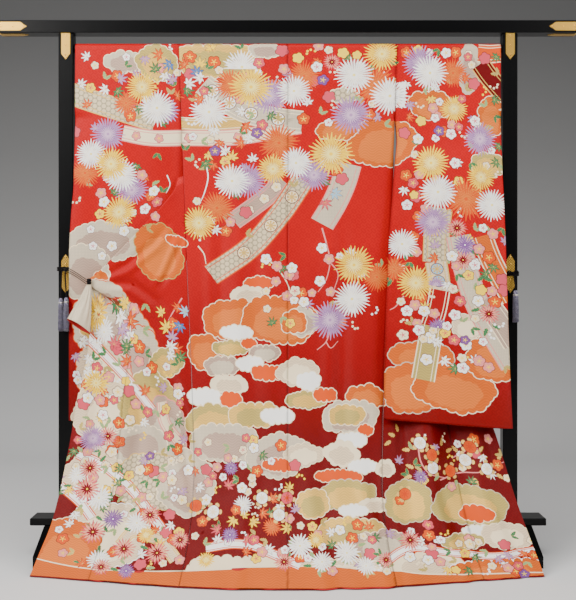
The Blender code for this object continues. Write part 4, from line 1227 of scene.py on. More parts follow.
# %% Lay out the print
def sheets_at(x, y, size):
    """Each sheet that a motif at a pixel touches, with its place on that sheet."""
    for sheet in PRINT:
        at, off = on_cloth(sheet, x, y)
        if off < size:
            yield sheet, at


def draw(shape, x, y, reach, *how):
    """Draw a shape on each sheet that it touches at a pixel."""
    for sheet, at in sheets_at(x, y, reach):
        shape(sheet, at, *how)


def draw_bank(x0, y0, x1, y1, fill, edge="cream"):
    for sheet, at in sheets_at((x0 + x1) / 2, (y0 + y1) / 2, (x1 - x0) / 2):
        half = np.array([x1 - x0, y1 - y0]) / 2 / PIXELS_PER_M
        bank(sheet, at - half, at + half, fill, edge, x0 * 0.1)


def routes(text):
    """The path and the other cells of each row of a text table of ribbons or twigs."""
    for line in text.strip().split("\n"):
        how, path = line.split(":")
        yield rows_of(path.replace(",", ";")), rows_of(how)[0]


def draw_band(path, half, fill, edge, charm="", dye="white"):
    """A ribbon along a path of pixels, perhaps with charms set along it."""
    x, y = path[len(path) // 2]
    for sheet, _ in sheets_at(x, y, 10):
        line = through([on_cloth(sheet, *pixel)[0] for pixel in path])
        wide = half / PIXELS_PER_M
        put(sheet, strip(line, wide + 0.0035), edge)
        put(sheet, strip(line, wide), fill)
        for side in (-0.72, 0.72):
            way = strip(line, wide * side)[: len(line)]
            put(sheet, strip(way, 0.0011), edge)
        for k in range(3, len(line) - 2, 5):
            if charm == "blossom":
                blossom(sheet, line[k], wide * 0.62, dye, "yellow", k)
            if charm == "roundel":
                put(sheet, disc(line[k], wide * 0.66), "line")
                put(sheet, disc(line[k], wide * 0.58), dye)
                put(sheet, petal_ring(line[k], wide * 0.5, 8, 0.3, 1.0), "gold_line")


# %% [markdown]
# ## Clouds and ribbons
#
# Banks of cloud are printed first, and ribbons lie over them. Later rows lie over earlier ones.

# %% Their places
# Banks of cloud, from the lowest: left, top, right, bottom, fill, and the border where it isn't cream
BANKS = """
    103 51 146 73 silver; 135 44 178 81 olive_gold; 178 42 258 79 gold; 250 43 280 58 silver;
    66 221 140 262 silver; 60 245 112 300 silver; 133 226 186 279 dappled_orange olive_gold;
    165 236 188 246 orange; 350 117 417 168 dappled_orange; 318 120 356 141 dappled_orange;
    381 111 414 121 red red; 408 90 454 120 dappled_orange; 477 96 504 138 dappled_orange;
    470 152 505 177 olive_gold; 457 45 482 92 silver silver; 330 88 357 103 lattice;
    93 270 113 300 orange; 70 292 132 352 silver orange; 96 312 152 360 silver orange;
    118 330 164 392 silver orange; 150 348 182 378 olive_gold; 76 340 130 400 beige orange;
    74 380 150 452 beige; 120 372 178 440 olive_gold; 146 398 190 470 taupe pink; 66 445 128 500 beige;
    110 424 168 462 silver; 116 452 186 512 lattice gold_line; 160 450 214 518 silver;
    60 500 150 570 beige white; 28 515 100 590 dappled_orange; 245 276 273 291 orange;
    232 286 267 304 cream; 203 298 262 340 dappled_orange; 240 296 318 344 dappled_orange;
    285 306 318 337 silver; 280 310 308 334 dappled_orange; 187 334 222 370 dappled_orange;
    221 325 252 340 white; 213 340 248 356 olive_gold; 241 338 257 349 orange; 248 345 281 361 taupe;
    204 356 240 376 taupe; 236 356 264 371 white; 250 365 285 381 orange; 277 358 318 386 beige;
    296 371 321 391 white; 210 375 248 394 cream; 187 388 223 406 white; 219 391 243 409 orange;
    286 391 327 409 olive_gold; 312 388 338 402 orange; 184 404 240 438 olive_gold; 226 402 282 428 gold;
    259 408 296 424 white; 346 384 386 410 dappled_orange; 320 400 380 433 silver; 328 404 366 426 gold;
    357 424 374 436 orange; 337 432 367 448 white; 186 424 262 462 silver; 246 434 312 478 silver;
    262 458 300 472 orange; 285 443 323 466 beige; 323 441 360 466 cream; 348 459 377 474 white;
    375 460 396 477 cream; 316 469 361 484 orange; 318 479 376 512 olive_gold silver;
    296 488 330 520 gold; 358 498 394 512 cream; 339 504 368 517 white;
    383 479 432 524 olive_gold silver; 428 484 508 526 olive_gold silver; 459 504 494 523 orange;
    464 524 496 539 white; 484 520 530 552 beige; 443 532 482 550 olive_gold; 318 516 384 548 gold;
    352 530 410 562 taupe; 186 556 300 580 beige; 286 558 396 584 beige; 392 550 462 580 cream orange;
    446 556 548 592 dappled_orange white; 393 341 450 372 dappled_orange silver;
    384 364 440 412 dappled_orange silver; 420 366 488 412 dappled_orange;
    468 338 516 380 dappled_orange; 454 314 482 340 beige
"""

# Ribbons: half width, fill, border, for some a charm and its dye, and then the path
BANDS = """
    10 lattice gold_line: 66 92, 92 101, 120 110, 155 121
    6 gold cream: 152 120, 180 124, 210 125, 242 123
    7 cream pink blossom pink: 123 133, 150 138, 181 138, 238 137, 300 126
    10 silver cream roundel white: 203 84, 222 98, 246 112, 278 119, 302 122
    8 taupe pink blossom cream: 282 180, 270 194, 252 208, 234 221
    10 lattice orange roundel cream: 303 180, 280 214, 250 248, 211 275
    11 silver pink: 349 164, 343 184, 334 204, 322 224
    8 orange cream: 478 53, 490 54, 502 53
    9 deep_red gold_line: 480 64, 490 78, 506 96
    11 lattice gold_line: 440 208, 437 230, 436 262
    9 beige gold_line roundel pale_blue: 436 262, 438 276, 440 292
    8 dappled_red cream: 440 290, 436 310, 430 328
    9 olive_gold cream blossom white: 432 326, 428 350, 423 380
    10 silver pink: 458 236, 466 270, 480 310, 512 366
    9 dappled_orange cream: 482 236, 492 262, 512 300
    10 taupe cream: 484 300, 498 318, 514 344
    4 white orange: 87 336, 106 356, 130 382, 152 410
    4 white orange: 78 454, 110 470, 140 500, 168 540
    4 white orange: 60 486, 78 500, 92 518
    5 cream pink blossom rose: 162 402, 166 424, 182 446
    5 beige gold_line: 120 545, 134 532, 160 540, 176 560
    3.5 white orange: 382 566, 410 548, 446 552, 496 556, 536 550
    4 white orange: 206 548, 240 544, 268 552, 300 566
"""

# Twigs: half width, dye, and then the path
TWIGS = """
    0.7 white: 206 164, 208 178, 204 194, 199 205
    0.8 pink: 322 228, 327 246, 330 262, 326 280, 318 292
    0.7 pink: 330 262, 338 274, 334 290
    0.8 cream: 264 256, 277 268, 288 285, 292 305
    0.6 white: 167 175, 170 184, 166 193
    0.7 pink: 330 330, 326 342, 317 350
    0.6 pink: 326 342, 331 348, 338 341
    0.7 pink: 182 298, 172 314, 166 326
    0.7 pink: 404 296, 396 306, 390 310
    0.8 pink: 418 446, 421 462, 430 474, 446 478
    0.8 pink: 440 480, 458 473, 482 472, 504 462
    0.7 pink: 452 458, 464 452, 470 442
    0.7 cream: 198 246, 204 254, 206 264
"""

# %% [markdown]
# ## Flowers and leaves
#
# Each kind has its own table of places, so that a flower can be moved by changing two numbers. The
# large chrysanthemums hang in strings from the shoulders, and smaller flowers crowd the lower left.

# %% Their places
# Chrysanthemums by family: x, y, size
MUMS = {
    "lilac": """
        167 111 12; 269 96 17; 108 134 16; 132 190 15; 248 181 17; 351 115 18; 314 175 15; 420 63 17;
        480 139 16; 433 222 16; 330 320 18
    """,
    "orange": """
        126 103 12; 232 85 15; 85 173 14; 217 208 16; 279 143 18; 304 76 15; 375 85 19; 453 73 14;
        466 199 20; 377 277 14; 394 269 12; 272 527 9
    """,
    "white": """
        157 108 17; 209 112 17; 294 91 15; 91 154 14; 121 175 16; 232 181 16; 296 163 15; 354 75 17;
        390 96 18; 430 73 17; 438 192 17; 492 205 15; 402 244 14; 352 299 17; 78 475 9; 99 498 12;
        137 523 11; 98 560 11; 300 546 12; 347 553 12; 322 562 10; 366 566 9; 104 332 9; 243 505 9
    """,
    "yellow": """
        142 87 15; 251 87 19; 111 164 16; 119 212 16; 199 223 16; 273 169 14; 382 54 16; 331 154 20;
        454 109 13; 431 163 17; 481 177 13; 354 265 18; 416 283 16; 146 535 8; 316 540 8; 206 560 8
    """,
    "red": """
        332 62 8; 457 228 9; 463 260 9; 489 314 9; 90 468 10; 87 489 12; 150 515 10; 93 532 12;
        124 549 11; 157 553 11; 101 567 9; 410 540 10; 108 436 9; 284 562 9; 180 540 9; 386 560 8
    """,
    "violet": "465 245 10; 113 519 10; 126 571 8; 231 468 7; 230 535 8; 421 477 7",
}
HALF_MUMS = [(242, 67, 17, "white"), (436, 285, 8, "lilac"), (438, 327, 9, "violet")]

# Maple leaves by dye: x, y
MAPLES = {
    "orange": """
        160 55; 185 65; 177 96; 201 100; 245 126; 242 143; 213 164; 130 322; 128 362; 146 392; 262 513;
        272 500; 176 350
    """,
    "blue": "170 64; 197 73; 180 325",
    "green": "156 70; 117 91; 186 91; 205 163; 116 304; 127 347; 180 358",
    "white": "165 75; 201 78; 106 89; 188 84; 251 139; 226 152; 120 313; 130 336; 170 347",
    "lilac": "173 81; 120 79; 172 338; 122 328",
    "yellow": "200 65; 232 158; 167 328; 126 304; 252 522; 288 528; 234 520",
    "rose": "325 202; 114 345; 246 540; 218 530; 228 486",
    "pale_blue": "334 193; 186 312",
}

# Five-petalled blossom by dye: x, y
BLOSSOMS = {
    "rose": """
        204 91; 259 63; 262 125; 157 202; 468 57; 462 99; 459 127; 413 183; 97 368; 114 400; 180 403;
        148 412; 100 441; 213 476; 254 540; 246 438; 460 301; 454 340; 78 440; 169 436; 428 525;
        518 566; 198 452; 372 540
    """,
    "pink": """
        284 69; 142 175; 101 193; 433 108; 493 234; 329 259; 312 293; 289 275; 287 296; 109 377;
        100 400; 178 388; 228 458; 432 547; 415 305; 417 323; 456 266; 479 249; 479 361; 277 266;
        508 568; 90 424; 136 404; 262 552
    """,
    "white": """
        104 202; 154 191; 145 209; 124 231; 317 67; 446 53; 435 118; 451 134; 475 121; 418 139;
        455 163; 407 205; 483 228; 93 246; 102 256; 112 246; 96 375; 88 398; 103 415; 147 372; 178 394;
        78 380; 243 465; 254 448; 242 488; 441 540; 410 557; 466 345; 463 368; 455 315; 447 326;
        407 311; 424 311; 475 265; 478 301; 419 330; 452 256; 322 248; 320 281; 304 302; 294 300;
        266 259; 292 268; 285 550; 188 470; 206 500; 428 560; 340 530
    """,
    "cream": """
        295 291; 403 335; 453 289; 462 358; 243 450; 118 392; 130 420; 492 566; 252 478; 172 480;
        112 452; 470 544; 182 500; 140 470
    """,
    "violet": "257 133; 215 151; 323 80; 439 131; 465 340; 524 574; 150 456",
    "yellow": "421 121; 414 195; 481 290; 298 58; 343 53; 357 55; 126 381; 456 570",
    "orange": "432 455; 450 470; 470 447; 400 500; 236 510; 404 494",
}

# Round-petalled flowers of the lower right, with leaves: x, y, dye
CAMELLIAS = """
    433 468 white; 465 460 white; 487 469 white; 420 443 white; 450 471 orange; 470 447 orange;
    432 455 orange; 405 494 orange; 213 512 white; 196 506 orange; 262 498 white; 279 515 white;
    287 498 rose
"""
# Leaves: x, y, direction in turns, dye
LEAVES = """
    395 436 0.55 gold; 398 432 0.7 gold; 391 441 0.42 gold; 441 446 0.8 gold; 436 450 0.6 gold;
    446 452 0.95 gold; 478 452 0.9 gold; 458 452 0.62 gold; 414 468 0.55 gold; 412 476 0.45 gold;
    498 460 0.85 gold; 496 474 0.1 gold; 474 478 0.2 gold; 457 480 0.35 sage; 410 450 0.5 gold;
    480 456 0.03 gold; 72 486 0.5 green; 100 462 0.85 green; 82 504 0.3 sage; 104 526 0.15 green;
    124 528 0.05 green; 100 545 0.25 green; 142 500 0.8 green; 162 526 0.2 sage; 140 546 0.05 green;
    154 538 0.12 green; 82 562 0.5 green; 110 568 0.05 green; 146 568 0 sage; 136 508 0.4 green;
    96 516 0.1 green; 290 552 0.3 green; 310 552 0.15 sage; 336 560 0.35 green; 358 546 0.95 sage;
    312 566 0.5 green; 477 281 0.9 green; 484 278 0.05 green; 480 309 0.45 green; 487 328 0.3 green;
    492 324 0.1 green; 471 250 0.1 green; 458 236 0.55 green; 84 452 0.6 sage; 376 562 0.1 green;
    394 564 0.45 sage; 234 476 0.2 sage; 250 470 0.05 sage
"""

# Stretches filled with small motifs: left, top, right, bottom, how many
SMALL_FILL = """
    74 48 178 128 26; 74 128 168 232 26; 184 46 286 168 44; 290 46 392 128 36; 190 160 250 236 14;
    290 140 345 190 10; 404 48 500 120 34; 404 120 505 232 44; 400 232 506 372 52; 258 250 392 330 22;
    88 300 182 420 46; 74 350 120 500 32; 110 420 186 500 26; 56 460 180 566 60; 188 440 300 560 52;
    300 520 392 572 28; 392 434 512 490 26; 396 530 536 572 34
"""

# %% [markdown]
# ## Print it
#
# The order of printing decides what lies over what: clouds, the hem's band, ribbons, twigs and
# leaves, then the small fill, and the large flowers last.

# %% Print the near side
# Hem band: the height of its upper edge above the hem along the cloth, by place across
HEM_BAND = [
    (-0.85, 0.10), (-0.66, 0.05), (-0.45, 0.040), (0.0, 0.072), (0.28, 0.052), (0.42, 0.030), (0.75, 0.012),
]
hem_along = along_of(np.array([LOW]))[0]
for row in rows_of(BANKS):
    draw_bank(*row)
hem_edge = through([(x, hem_along - high) for x, high in HEM_BAND], 8)
hem_low = np.array([(0.80, hem_along + 0.05), (-0.90, hem_along + 0.05)])
put("body", np.concatenate([hem_edge + [0, -0.004], hem_low]), "cream")
put("body", np.concatenate([hem_edge, hem_low]), "dappled_orange")
put("body", np.concatenate([[(-0.90, hem_along - 0.005), (0.80, hem_along - 0.005)], hem_low]), "deep_red")
for path, how in routes(BANDS):
    draw_band(path, *how)
for path, (half, dye) in routes(TWIGS):
    for sheet, _ in sheets_at(*path[1], 8):
        line = through([on_cloth(sheet, *pixel)[0] for pixel in path])
        put(sheet, strip(line, np.linspace(half, half * 0.5, len(line)) / PIXELS_PER_M), dye)
for x, y, turn, dye in rows_of(LEAVES):
    draw(leaf, x, y, 10, 0.026, 0.012, turn * 2 * math.pi, dye)
fill_chance = np.random.default_rng(23)
for x0, y0, x1, y1, count in rows_of(SMALL_FILL):
    taken = []
    for _ in range(int(count) * 6):
        x, y = fill_chance.uniform((x0, y0), (x1, y1))
        if len(taken) < count and all(math.hypot(x - u, y - v) > 9 for u, v in taken):
            taken.append((x, y))
    for k, (x, y) in enumerate(taken):
        turn, kind = fill_chance.uniform(0, 6), k % 8
        for sheet, at in sheets_at(x, y, 5):
            if kind in (0, 3, 5):
                dye = ("white", "pink", "rose", "cream", "yellow", "orange")[k % 6]
                blossom(sheet, at, 0.0125 + 0.003 * (k % 3), dye, "yellow" if k % 2 else "rose", turn)
            elif kind in (1, 6):
                maple(sheet, at, 0.021, ("orange", "white", "lilac", "yellow", "green")[k % 5], turn)
            elif kind in (2, 7):
                leaf(sheet, at, 0.024, 0.011, turn, ("green", "sage", "olive_gold")[k % 3])
                leaf(sheet, at, 0.022, 0.010, turn + 1.2, ("green", "sage", "olive_gold")[k % 3])
            else:
                for step in range(4):
                    away = np.array([math.cos(turn + step * 0.5), math.sin(turn + step * 0.5)]) * 0.008 * step
                    put(sheet, disc(at + away, 0.0038, 9), ("white", "cream", "yellow")[k % 3])
for family, places in MUMS.items():
    for x, y, size in rows_of(places):
        draw(mum, x, y, size, size / PIXELS_PER_M * 1.06, family, x * 0.37)
for x, y, size, family in HALF_MUMS:
    draw(mum, x, y, size, size / PIXELS_PER_M, family, 0.0, True)
for dye, places in MAPLES.items():
    for x, y in rows_of(places):
        draw(maple, x, y, 7, 0.024, dye, x * 0.9 + y * 0.3)
for dye, places in BLOSSOMS.items():
    for x, y in rows_of(places):
        core = "rose" if dye in ("white", "cream") and x % 2 else "yellow"
        draw(blossom, x, y, 6, 0.0165 if x % 3 else 0.0135, dye, core, x * 0.7)
for x, y, dye in rows_of(CAMELLIAS):
    for sheet, at in sheets_at(x, y, 8):
        put(sheet, petal_ring(at, 0.028, 6, 0.62, 0.9, 0.0, x * 0.3), "gold_line")
        put(sheet, disc(at, 0.0195, 18), "line")
        put(sheet, disc(at, 0.0182, 18), dye)
        put(sheet, petal_ring(at, 0.012, 7, 0.4, 0.7), "cream" if dye == "white" else "deep_orange")

# %% [markdown]
# ## What the photograph doesn't show
#
# The far sides of the sleeves and the hidden half of each front carry the same kinds of motif. They
# are scattered by a seeded draw that keeps them clear of each other.

# %% The print of the hidden sides
chance = np.random.default_rng(11)


def scatter(sheet, low, high, count, room=0.062):
    """Motifs at random, no two nearer than room."""
    taken = []
    while len(taken) < count:
        at = chance.uniform(low, high)
        if all(np.hypot(*(at - other)) > room for other in taken):
            taken.append(at)
        else:
            count -= 0.2
    kinds = ["white", "yellow", "orange", "lilac"]
    for k, at in enumerate(taken):
        turn = chance.uniform(0, 6)
        if k % 7 == 0:
            half = np.array([0.075, 0.032])
            bank(sheet, at - half, at + half, ("gold", "dappled_orange", "silver")[k % 3], "cream")
        elif k % 2:
            mum(sheet, at, chance.uniform(0.032, 0.048), kinds[k % 4], turn)
        elif k % 4:
            maple(sheet, at, 0.026, ("orange", "white", "green", "pale_blue")[k // 4 % 4], turn)
        else:
            blossom(sheet, at, 0.018, ("white", "pink", "rose")[k // 4 % 3], "yellow", turn)


scatter("right", (0.03, -1.05), (0.29, -0.08), 50)
scatter("left", (-0.29, -1.05), (-0.03, -0.08), 50)
scatter("left", (-0.29, 0.86), (-0.03, 1.06), 8)
scatter("body", (0.42, 0.20), (0.68, 1.10), 24)
scatter("body", (-0.78, 0.75), (-0.56, 1.25), 20)
for sheet, drawn in PRINT.items():
    print("outlines on", sheet, len(drawn), "with", sum(len(outline) for outline, _ in drawn), "points")

# %% [markdown]
# ## Cut and hang the widths
#
# Each width is cut from the flat picture, with closer lines where the cloth turns sharply: over the
# rail, at the seams, and where the left front turns under. The body width and the overlap (okumi) of a front
# are cut together and parted along their seam.

# %% The body's widths
def dyed(sheet, onto):
    """A sheet's outlines on one width, and the colours and figures of their dyes."""
    outlines = [onto(outline) for outline, _ in PRINT[sheet]]
    names = [dye for _, dye in PRINT[sheet]] + ["red"]
    colours = np.array([(*DYES[name][0], DYES[name][1]) for name in names])
    figures = np.array([DYES[name][2] for name in names], float)
    return outlines, (colours, figures)


# Painted shade: the dye is darkened within about a millimetre of a seam, where its groove lies in shadow
def seam_painted_shade(distance):
    return 1.0 - 0.55 * np.exp(-((distance / 0.0013) ** 2))


near_rail = (0.0, 0.026, 0.0022)
along_body = spread(0.0, LOW, CELL, [near_rail, (height_of(1.20), height_of(1.10), 0.0035)])


# shade is the painted shade that darkens the dye along the seams
def cut_width(names, owner, sheet, onto, surface, to_cloth, out, across, along, seams, shade):
    """Cut one flat sheet and hang the pieces that owner names by number."""
    outlines, dyes = dyed(sheet, onto)
    flat, faces, top = cut_sheet(across, along, outlines, seams)
    belongs = owner(flat[faces].mean(axis=1))
    for number, name in enumerate(names):
        mine = belongs == number
        grid = across, along
        silk_piece(
            f"silk_{name}", surface, out, flat, faces[mine], top[mine], dyes, to_cloth, shade, grid
        )


def line_down(across_of, along):
    return np.stack([across_of(along), along], axis=-1)


at_sides = [(-BACK_WIDE, -BACK_WIDE + 0.004, 0.0013), (BACK_WIDE - 0.004, BACK_WIDE, 0.0013)]
cut_width(
    ("back_left", "back_right"),
    lambda middle: (middle[:, 0] > 0).astype(int),
    "body",
    onto_back,
    back_cloth,
    back_flat,
    -1,
    np.unique(
        np.append(
            spread(-BACK_WIDE, 0.0, CELL, at_sides[:1] + [(-0.004, 0.0, 0.001)]),
            spread(0.0, BACK_WIDE, CELL, at_sides[1:] + [(0.0, 0.004, 0.001)]),
        )
    ),
    along_body,
    [line_down(lambda q: 0 * q, along_body)],
    lambda flat: seam_painted_shade(flat[:, 0]) * seam_painted_shade(BACK_WIDE - np.abs(flat[:, 0])),
)

right_tip = height_of(OKUMI_TIP)
right_along = along_body[along_body > right_tip]
right_along = np.append(right_tip, right_along)
right_seam = line_down(lambda q: okumi_seam(q) * RIGHT_FLAT, right_along)
right_end = np.array([right_seam[0], [RIGHT_FLAT, right_tip]])


def right_owner(middle):
    beyond = middle[:, 0] > okumi_seam(middle[:, 1]) * RIGHT_FLAT
    return (beyond & (middle[:, 1] > right_tip)).astype(int)


cut_width(
    ("front_right", "okumi_right"),
    right_owner,
    "body",
    onto_right,
    right_cloth,
    right_flat,
    -1,
    spread(0.0, RIGHT_FLAT, CELL, [(0.0, 0.004, 0.0013)]),
    np.unique(np.append(along_body, right_tip)),
    [right_seam, right_end],
    lambda flat: seam_painted_shade(flat[:, 0]) * seam_painted_shade(flat[:, 0] - okumi_seam(flat[:, 1]) * RIGHT_FLAT),
)

left_tip = height_of(LEFT_TIP)
left_along = np.append(left_tip, along_body[along_body > left_tip])
left_seam = line_down(lambda q: 0 * q + LEFT_SEAM_AT, left_along)
left_end = np.array([[LEFT_SEAM_AT, left_tip], [LEFT_FLAT, left_tip]])
cut_width(
    ("front_left", "okumi_left"),
    lambda middle: ((middle[:, 0] > LEFT_SEAM_AT) & (middle[:, 1] > left_tip)).astype(int),
    "body",
    onto_left,
    left_cloth,
    left_flat,
    1,
    np.unique(np.append(spread(0.0, LEFT_FLAT, 0.0065, [(0.0, 0.004, 0.0013)]), LEFT_SEAM_AT)),
    np.unique(np.append(along_body, left_tip)),
    [left_seam, left_end],
    lambda flat: seam_painted_shade(flat[:, 0]) * seam_painted_shade(flat[:, 0] - LEFT_SEAM_AT),
)

# %% The sleeves
# A little coarser along the sleeves, so that each stays under 200,000 triangles
SLEEVE_CELL = 0.0088
along_sleeve = spread(
    0.0,
    2 * SLEEVE_TOP,
    SLEEVE_CELL,
    [
        (0.0, 0.008, 0.0015),
        (SLEEVE_TOP - 0.026, SLEEVE_TOP + 0.026, 0.0022),
        (2 * SLEEVE_TOP - 0.008, 9.0, 0.0015),
    ],
)
across_sleeve = spread(0.0, SLEEVE_WIDE, CELL, [(SLEEVE_WIDE - 0.045, SLEEVE_WIDE, 0.004)])
for side, word, out in ((1, "right", 1), (-1, "left", -1)):
    cut_width(
        (f"sleeve_{word}",),
        lambda middle: np.zeros(len(middle), int),
        word,
        sleeve_flat(side),
        sleeve_cloth(side),
        sleeve_flat(side),
        out,
        across_sleeve,
        along_sleeve,
        [],
        # Painted shade: darker along the sleeve's inner seam, and 30 per cent darker in a 1.2 mm strip at the
        # sewn outer edge
        lambda flat: seam_painted_shade(flat[:, 0] - 0.001) * (1 - 0.3 * (flat[:, 0] > SLEEVE_WIDE - 0.0012)),
    )

# %% [markdown]
# ## The collar and the tied fold
#
# The collar is a doubled strip, thick in its middle and thin at both long edges. Where the left front
# is tied to the post its end is gathered into a cone, with pleats that fade towards its open mouth.
# Both are made as a grid of places, thickened to both sides.

# %% A closed shell on a grid of places
def grid_normals(place, ring):
    if ring:
        around = np.roll(place, -1, axis=1) - np.roll(place, 1, axis=1)
    else:
        around = np.gradient(place, axis=1)
    normal = np.cross(np.gradient(place, axis=0), around)
    return normal / length_of(normal, axis=-1, keepdims=True)


def grid_shell(name, place, half, ring, face_dye, lining_dye, figure):
    """Two offset layers of a grid with a rim. Rows run along it; a ring closes on itself across."""
    rows, columns = place.shape[:2]
    normal = grid_normals(place, ring)
    half = np.broadcast_to(half, (rows, columns))[..., None]
    both = np.concatenate([(place + normal * half).reshape(-1, 3), (place - normal * half).reshape(-1, 3)])
    behind = rows * columns
    quads = []
    number = np.arange(behind).reshape(rows, columns)
    after = np.roll(number, -1, axis=1) if ring else number[:, 1:]
    here = number if ring else number[:, :-1]
    a, b, c, d = here[:-1].ravel(), here[1:].ravel(), after[1:].ravel(), after[:-1].ravel()
    quads.append(np.stack([a, b, c, d], axis=-1))
    quads.append(np.stack([d, c, b, a], axis=-1) + behind)
    for line, way in ((number[0], 1), (number[-1], -1)):
        next_one = np.roll(line, -1) if ring else line[1:]
        line = line if ring else line[:-1]
        rim = np.stack([line, next_one, next_one + behind, line + behind], axis=-1)
        quads.append(rim[:, ::way])
    if not ring:
        for line, way in ((number[:, 0], -1), (number[:, -1], 1)):
            rim = np.stack([line[:-1], line[1:], line[1:] + behind, line[:-1] + behind], axis=-1)
            quads.append(rim[:, ::way])
    faces = np.concatenate(quads)
    long = np.cumsum(length_of(np.diff(place, axis=0, prepend=place[:1]), axis=2), axis=0)
    wide = np.cumsum(length_of(np.diff(place, axis=1, prepend=place[:, :1]), axis=2), axis=1)
    cloth = np.tile(np.stack([wide.ravel(), long.ravel()], axis=-1), (2, 1))
    printed = len(quads[0]) * 4
    colour = np.tile(lining_dye, (faces.size, 1)).astype(float)
    colour[:printed] = face_dye
    kind_of = np.zeros(faces.size)
    kind_of[:printed] = figure
    made = piece(name, both.tolist(), faces.tolist(), cloth[faces.ravel()], [silk])
    dye_corners(made.data, colour, kind_of)
    print(name, "faces", len(faces))
    return made


# %% The collar
COLLAR, COLLAR_WIDE, COLLAR_LOOSE, NECK_CLEAR = 0.003, 0.055, 0.0009, 0.0011


def collar_rows():
    radius = RAIL_R + COLLAR_LOOSE + COLLAR / 2
    widths = np.concatenate([[0.0, 0.0012, 0.004], np.linspace(0.008, COLLAR_WIDE - 0.004, 7)])
    widths = np.append(widths, [COLLAR_WIDE - 0.0012, COLLAR_WIDE])
    rows = []

    def leg(surface, height, inner, outer):
        drop = np.array([height_of(height)])
        edge, inside = surface(drop, np.array([outer]))[0], surface(drop, np.array([inner]))[0]
        way = (edge - inside) / length_of(edge - inside)
        return edge + way * (GAP + widths)[:, None]

    def round_neck(side, down):
        rest = min(down / COLLAR_WIDE, 1.0)
        wrap, height = over_rail(2 * GAP + down + widths * (1 - rest * 0.8), radius)
        return points(side * (NECK_HALF - NECK_CLEAR - widths), -wrap, height)

    for height in np.arange(0.70, 1.475, 0.0245):
        rows.append(leg(right_front_surface, height, 0.97, 1.0))
    corner_drops = [0.0, 0.005, 0.010, 0.015, 0.0205, 0.030, 0.042, COLLAR_WIDE]
    for down in reversed(corner_drops):
        rows.append(round_neck(1, down))
    for part in (0.75, 0.5, 0.25, 0.0, -0.25, -0.5, -0.75):
        rows.append(round_neck(part, 0.0))
    for down in corner_drops:
        rows.append(round_neck(-1, down))
    for height in np.arange(1.47, 0.915, -0.022):
        rows.append(leg(left_front_surface, height, LEFT_COLUMNS - 0.5, float(LEFT_COLUMNS)))
    return np.array(rows), widths


collar_place, collar_across = collar_rows()
red_dye, red_figure = (*DYES["red"][0], 0.0), DYES["red"][2]
from_edge = np.minimum(collar_across, COLLAR_WIDE - collar_across)
collar_half = COLLAR / 2 * (0.30 + 0.70 * np.sqrt(np.clip(from_edge / 0.010, 0.0, 1.0)))
collar = grid_shell("collar_strip", collar_place, collar_half, False, red_dye, red_dye, red_figure)
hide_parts("collar")

# %% The tied fold
TIED_FOLD = table(
    "share x ahead height across deep",
    (0.0, -0.592, 0.0885, 0.8168, 0.0070, 0.0045),
    (0.4, -0.600, 0.1080, 0.7680, 0.0190, 0.0120),
    (0.8, -0.609, 0.1240, 0.7200, 0.0300, 0.0180),
    (1.0, -0.614, 0.1310, 0.6940, 0.0340, 0.0200),
)
MOUTH_TILT, CONE_RINGS, CONE_SIDES = 0.55, 44, 112
share = np.linspace(0.0, 1.0, CONE_RINGS)[:, None]
turn = (np.arange(CONE_SIDES) * 2 * math.pi / CONE_SIDES)[None, :]
course = {name: smooth(share, TIED_FOLD["share"], TIED_FOLD[name]) for name in TIED_FOLD}
pleats = (1 - share) ** 0.6 * (0.5 + 0.5 * np.cos(11 * turn + 2 * np.sin(turn + 3 * share)))
slack = 0.5 + 0.5 * np.cos(4 * turn + 1.2 + 2.0 * share)
size = 1.0 - 0.22 * pleats - 0.07 * slack * share
over, fore = np.cos(turn) * course["across"] * size, np.sin(turn) * course["deep"] * size
lift = (MOUTH_TILT * -over * 1.1 + fore * 0.5) * share
cone_place = np.stack(
    [course["x"] + over, RAIL_Y - course["ahead"] - fore, course["height"] + lift], axis=-1
)[:, ::-1]
tied_fold = grid_shell(
    "gathered_end",
    cone_place,
    SHELL / 2,
    True,
    (*DYES["silver"][0], DYES["silver"][1]),
    LINING_DYE,
    DYES["silver"][2],
)
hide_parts("tied_fold")

# %% [markdown]
# ## Cords and tassels
#
# Thin silk cord is wound three times round each post. On the left, strands run on to the knot that
# holds the gathered front. A cord is a tube along a smooth path, and its twist is in its finish. Each
# tassel is one piece: its hanging cord, its bound head, and the threads that grow out of the head.

# %% Tubes along paths
def tube(path, radius, closed=False, sides=10, taper=None):
    """Corners, faces and (around, along) of a tube. taper scales the radius at each point."""
    path = np.asarray(path, float)
    count = len(path)
    if closed:
        way = np.roll(path, -1, axis=0) - np.roll(path, 1, axis=0)
    else:
        way = np.gradient(path, axis=0)
    way = way / length_of(way, axis=1, keepdims=True)
    first = np.cross(way[0], [0.3, 0.2, 0.93])
    frames = [first / length_of(first)]
    for k in range(1, count):
        side = frames[-1] - way[k] * np.dot(frames[-1], way[k])
        frames.append(side / length_of(side))
    frames = np.array(frames)
    other = np.cross(way, frames)
    angle = np.arange(sides) * 2 * math.pi / sides
    radius = radius * (np.ones(count) if taper is None else taper)
    spokes = frames[:, None] * np.cos(angle)[None, :, None] + other[:, None] * np.sin(angle)[None, :, None]
    corners = (path[:, None] + spokes * radius[:, None, None]).reshape(-1, 3)
    number = np.arange(count * sides).reshape(count, sides)
    ends = np.roll(number, -1, axis=0) if closed else number[1:]
    start = number if closed else number[:-1]
    a, b = start.ravel(), np.roll(start, -1, axis=1).ravel()
    c, d = np.roll(ends, -1, axis=1).ravel(), ends.ravel()
    faces = np.stack([a, b, c, d], axis=-1).tolist()
    if not closed:
        faces += [number[0, ::-1].tolist(), number[-1].tolist()]
    run = np.append(0.0, np.cumsum(length_of(np.diff(path, axis=0), axis=1)))
    cloth = np.stack(np.broadcast_arrays(angle[None, :] / (2 * math.pi), run[:, None]), axis=-1)
    return corners, faces, cloth.reshape(-1, 2)


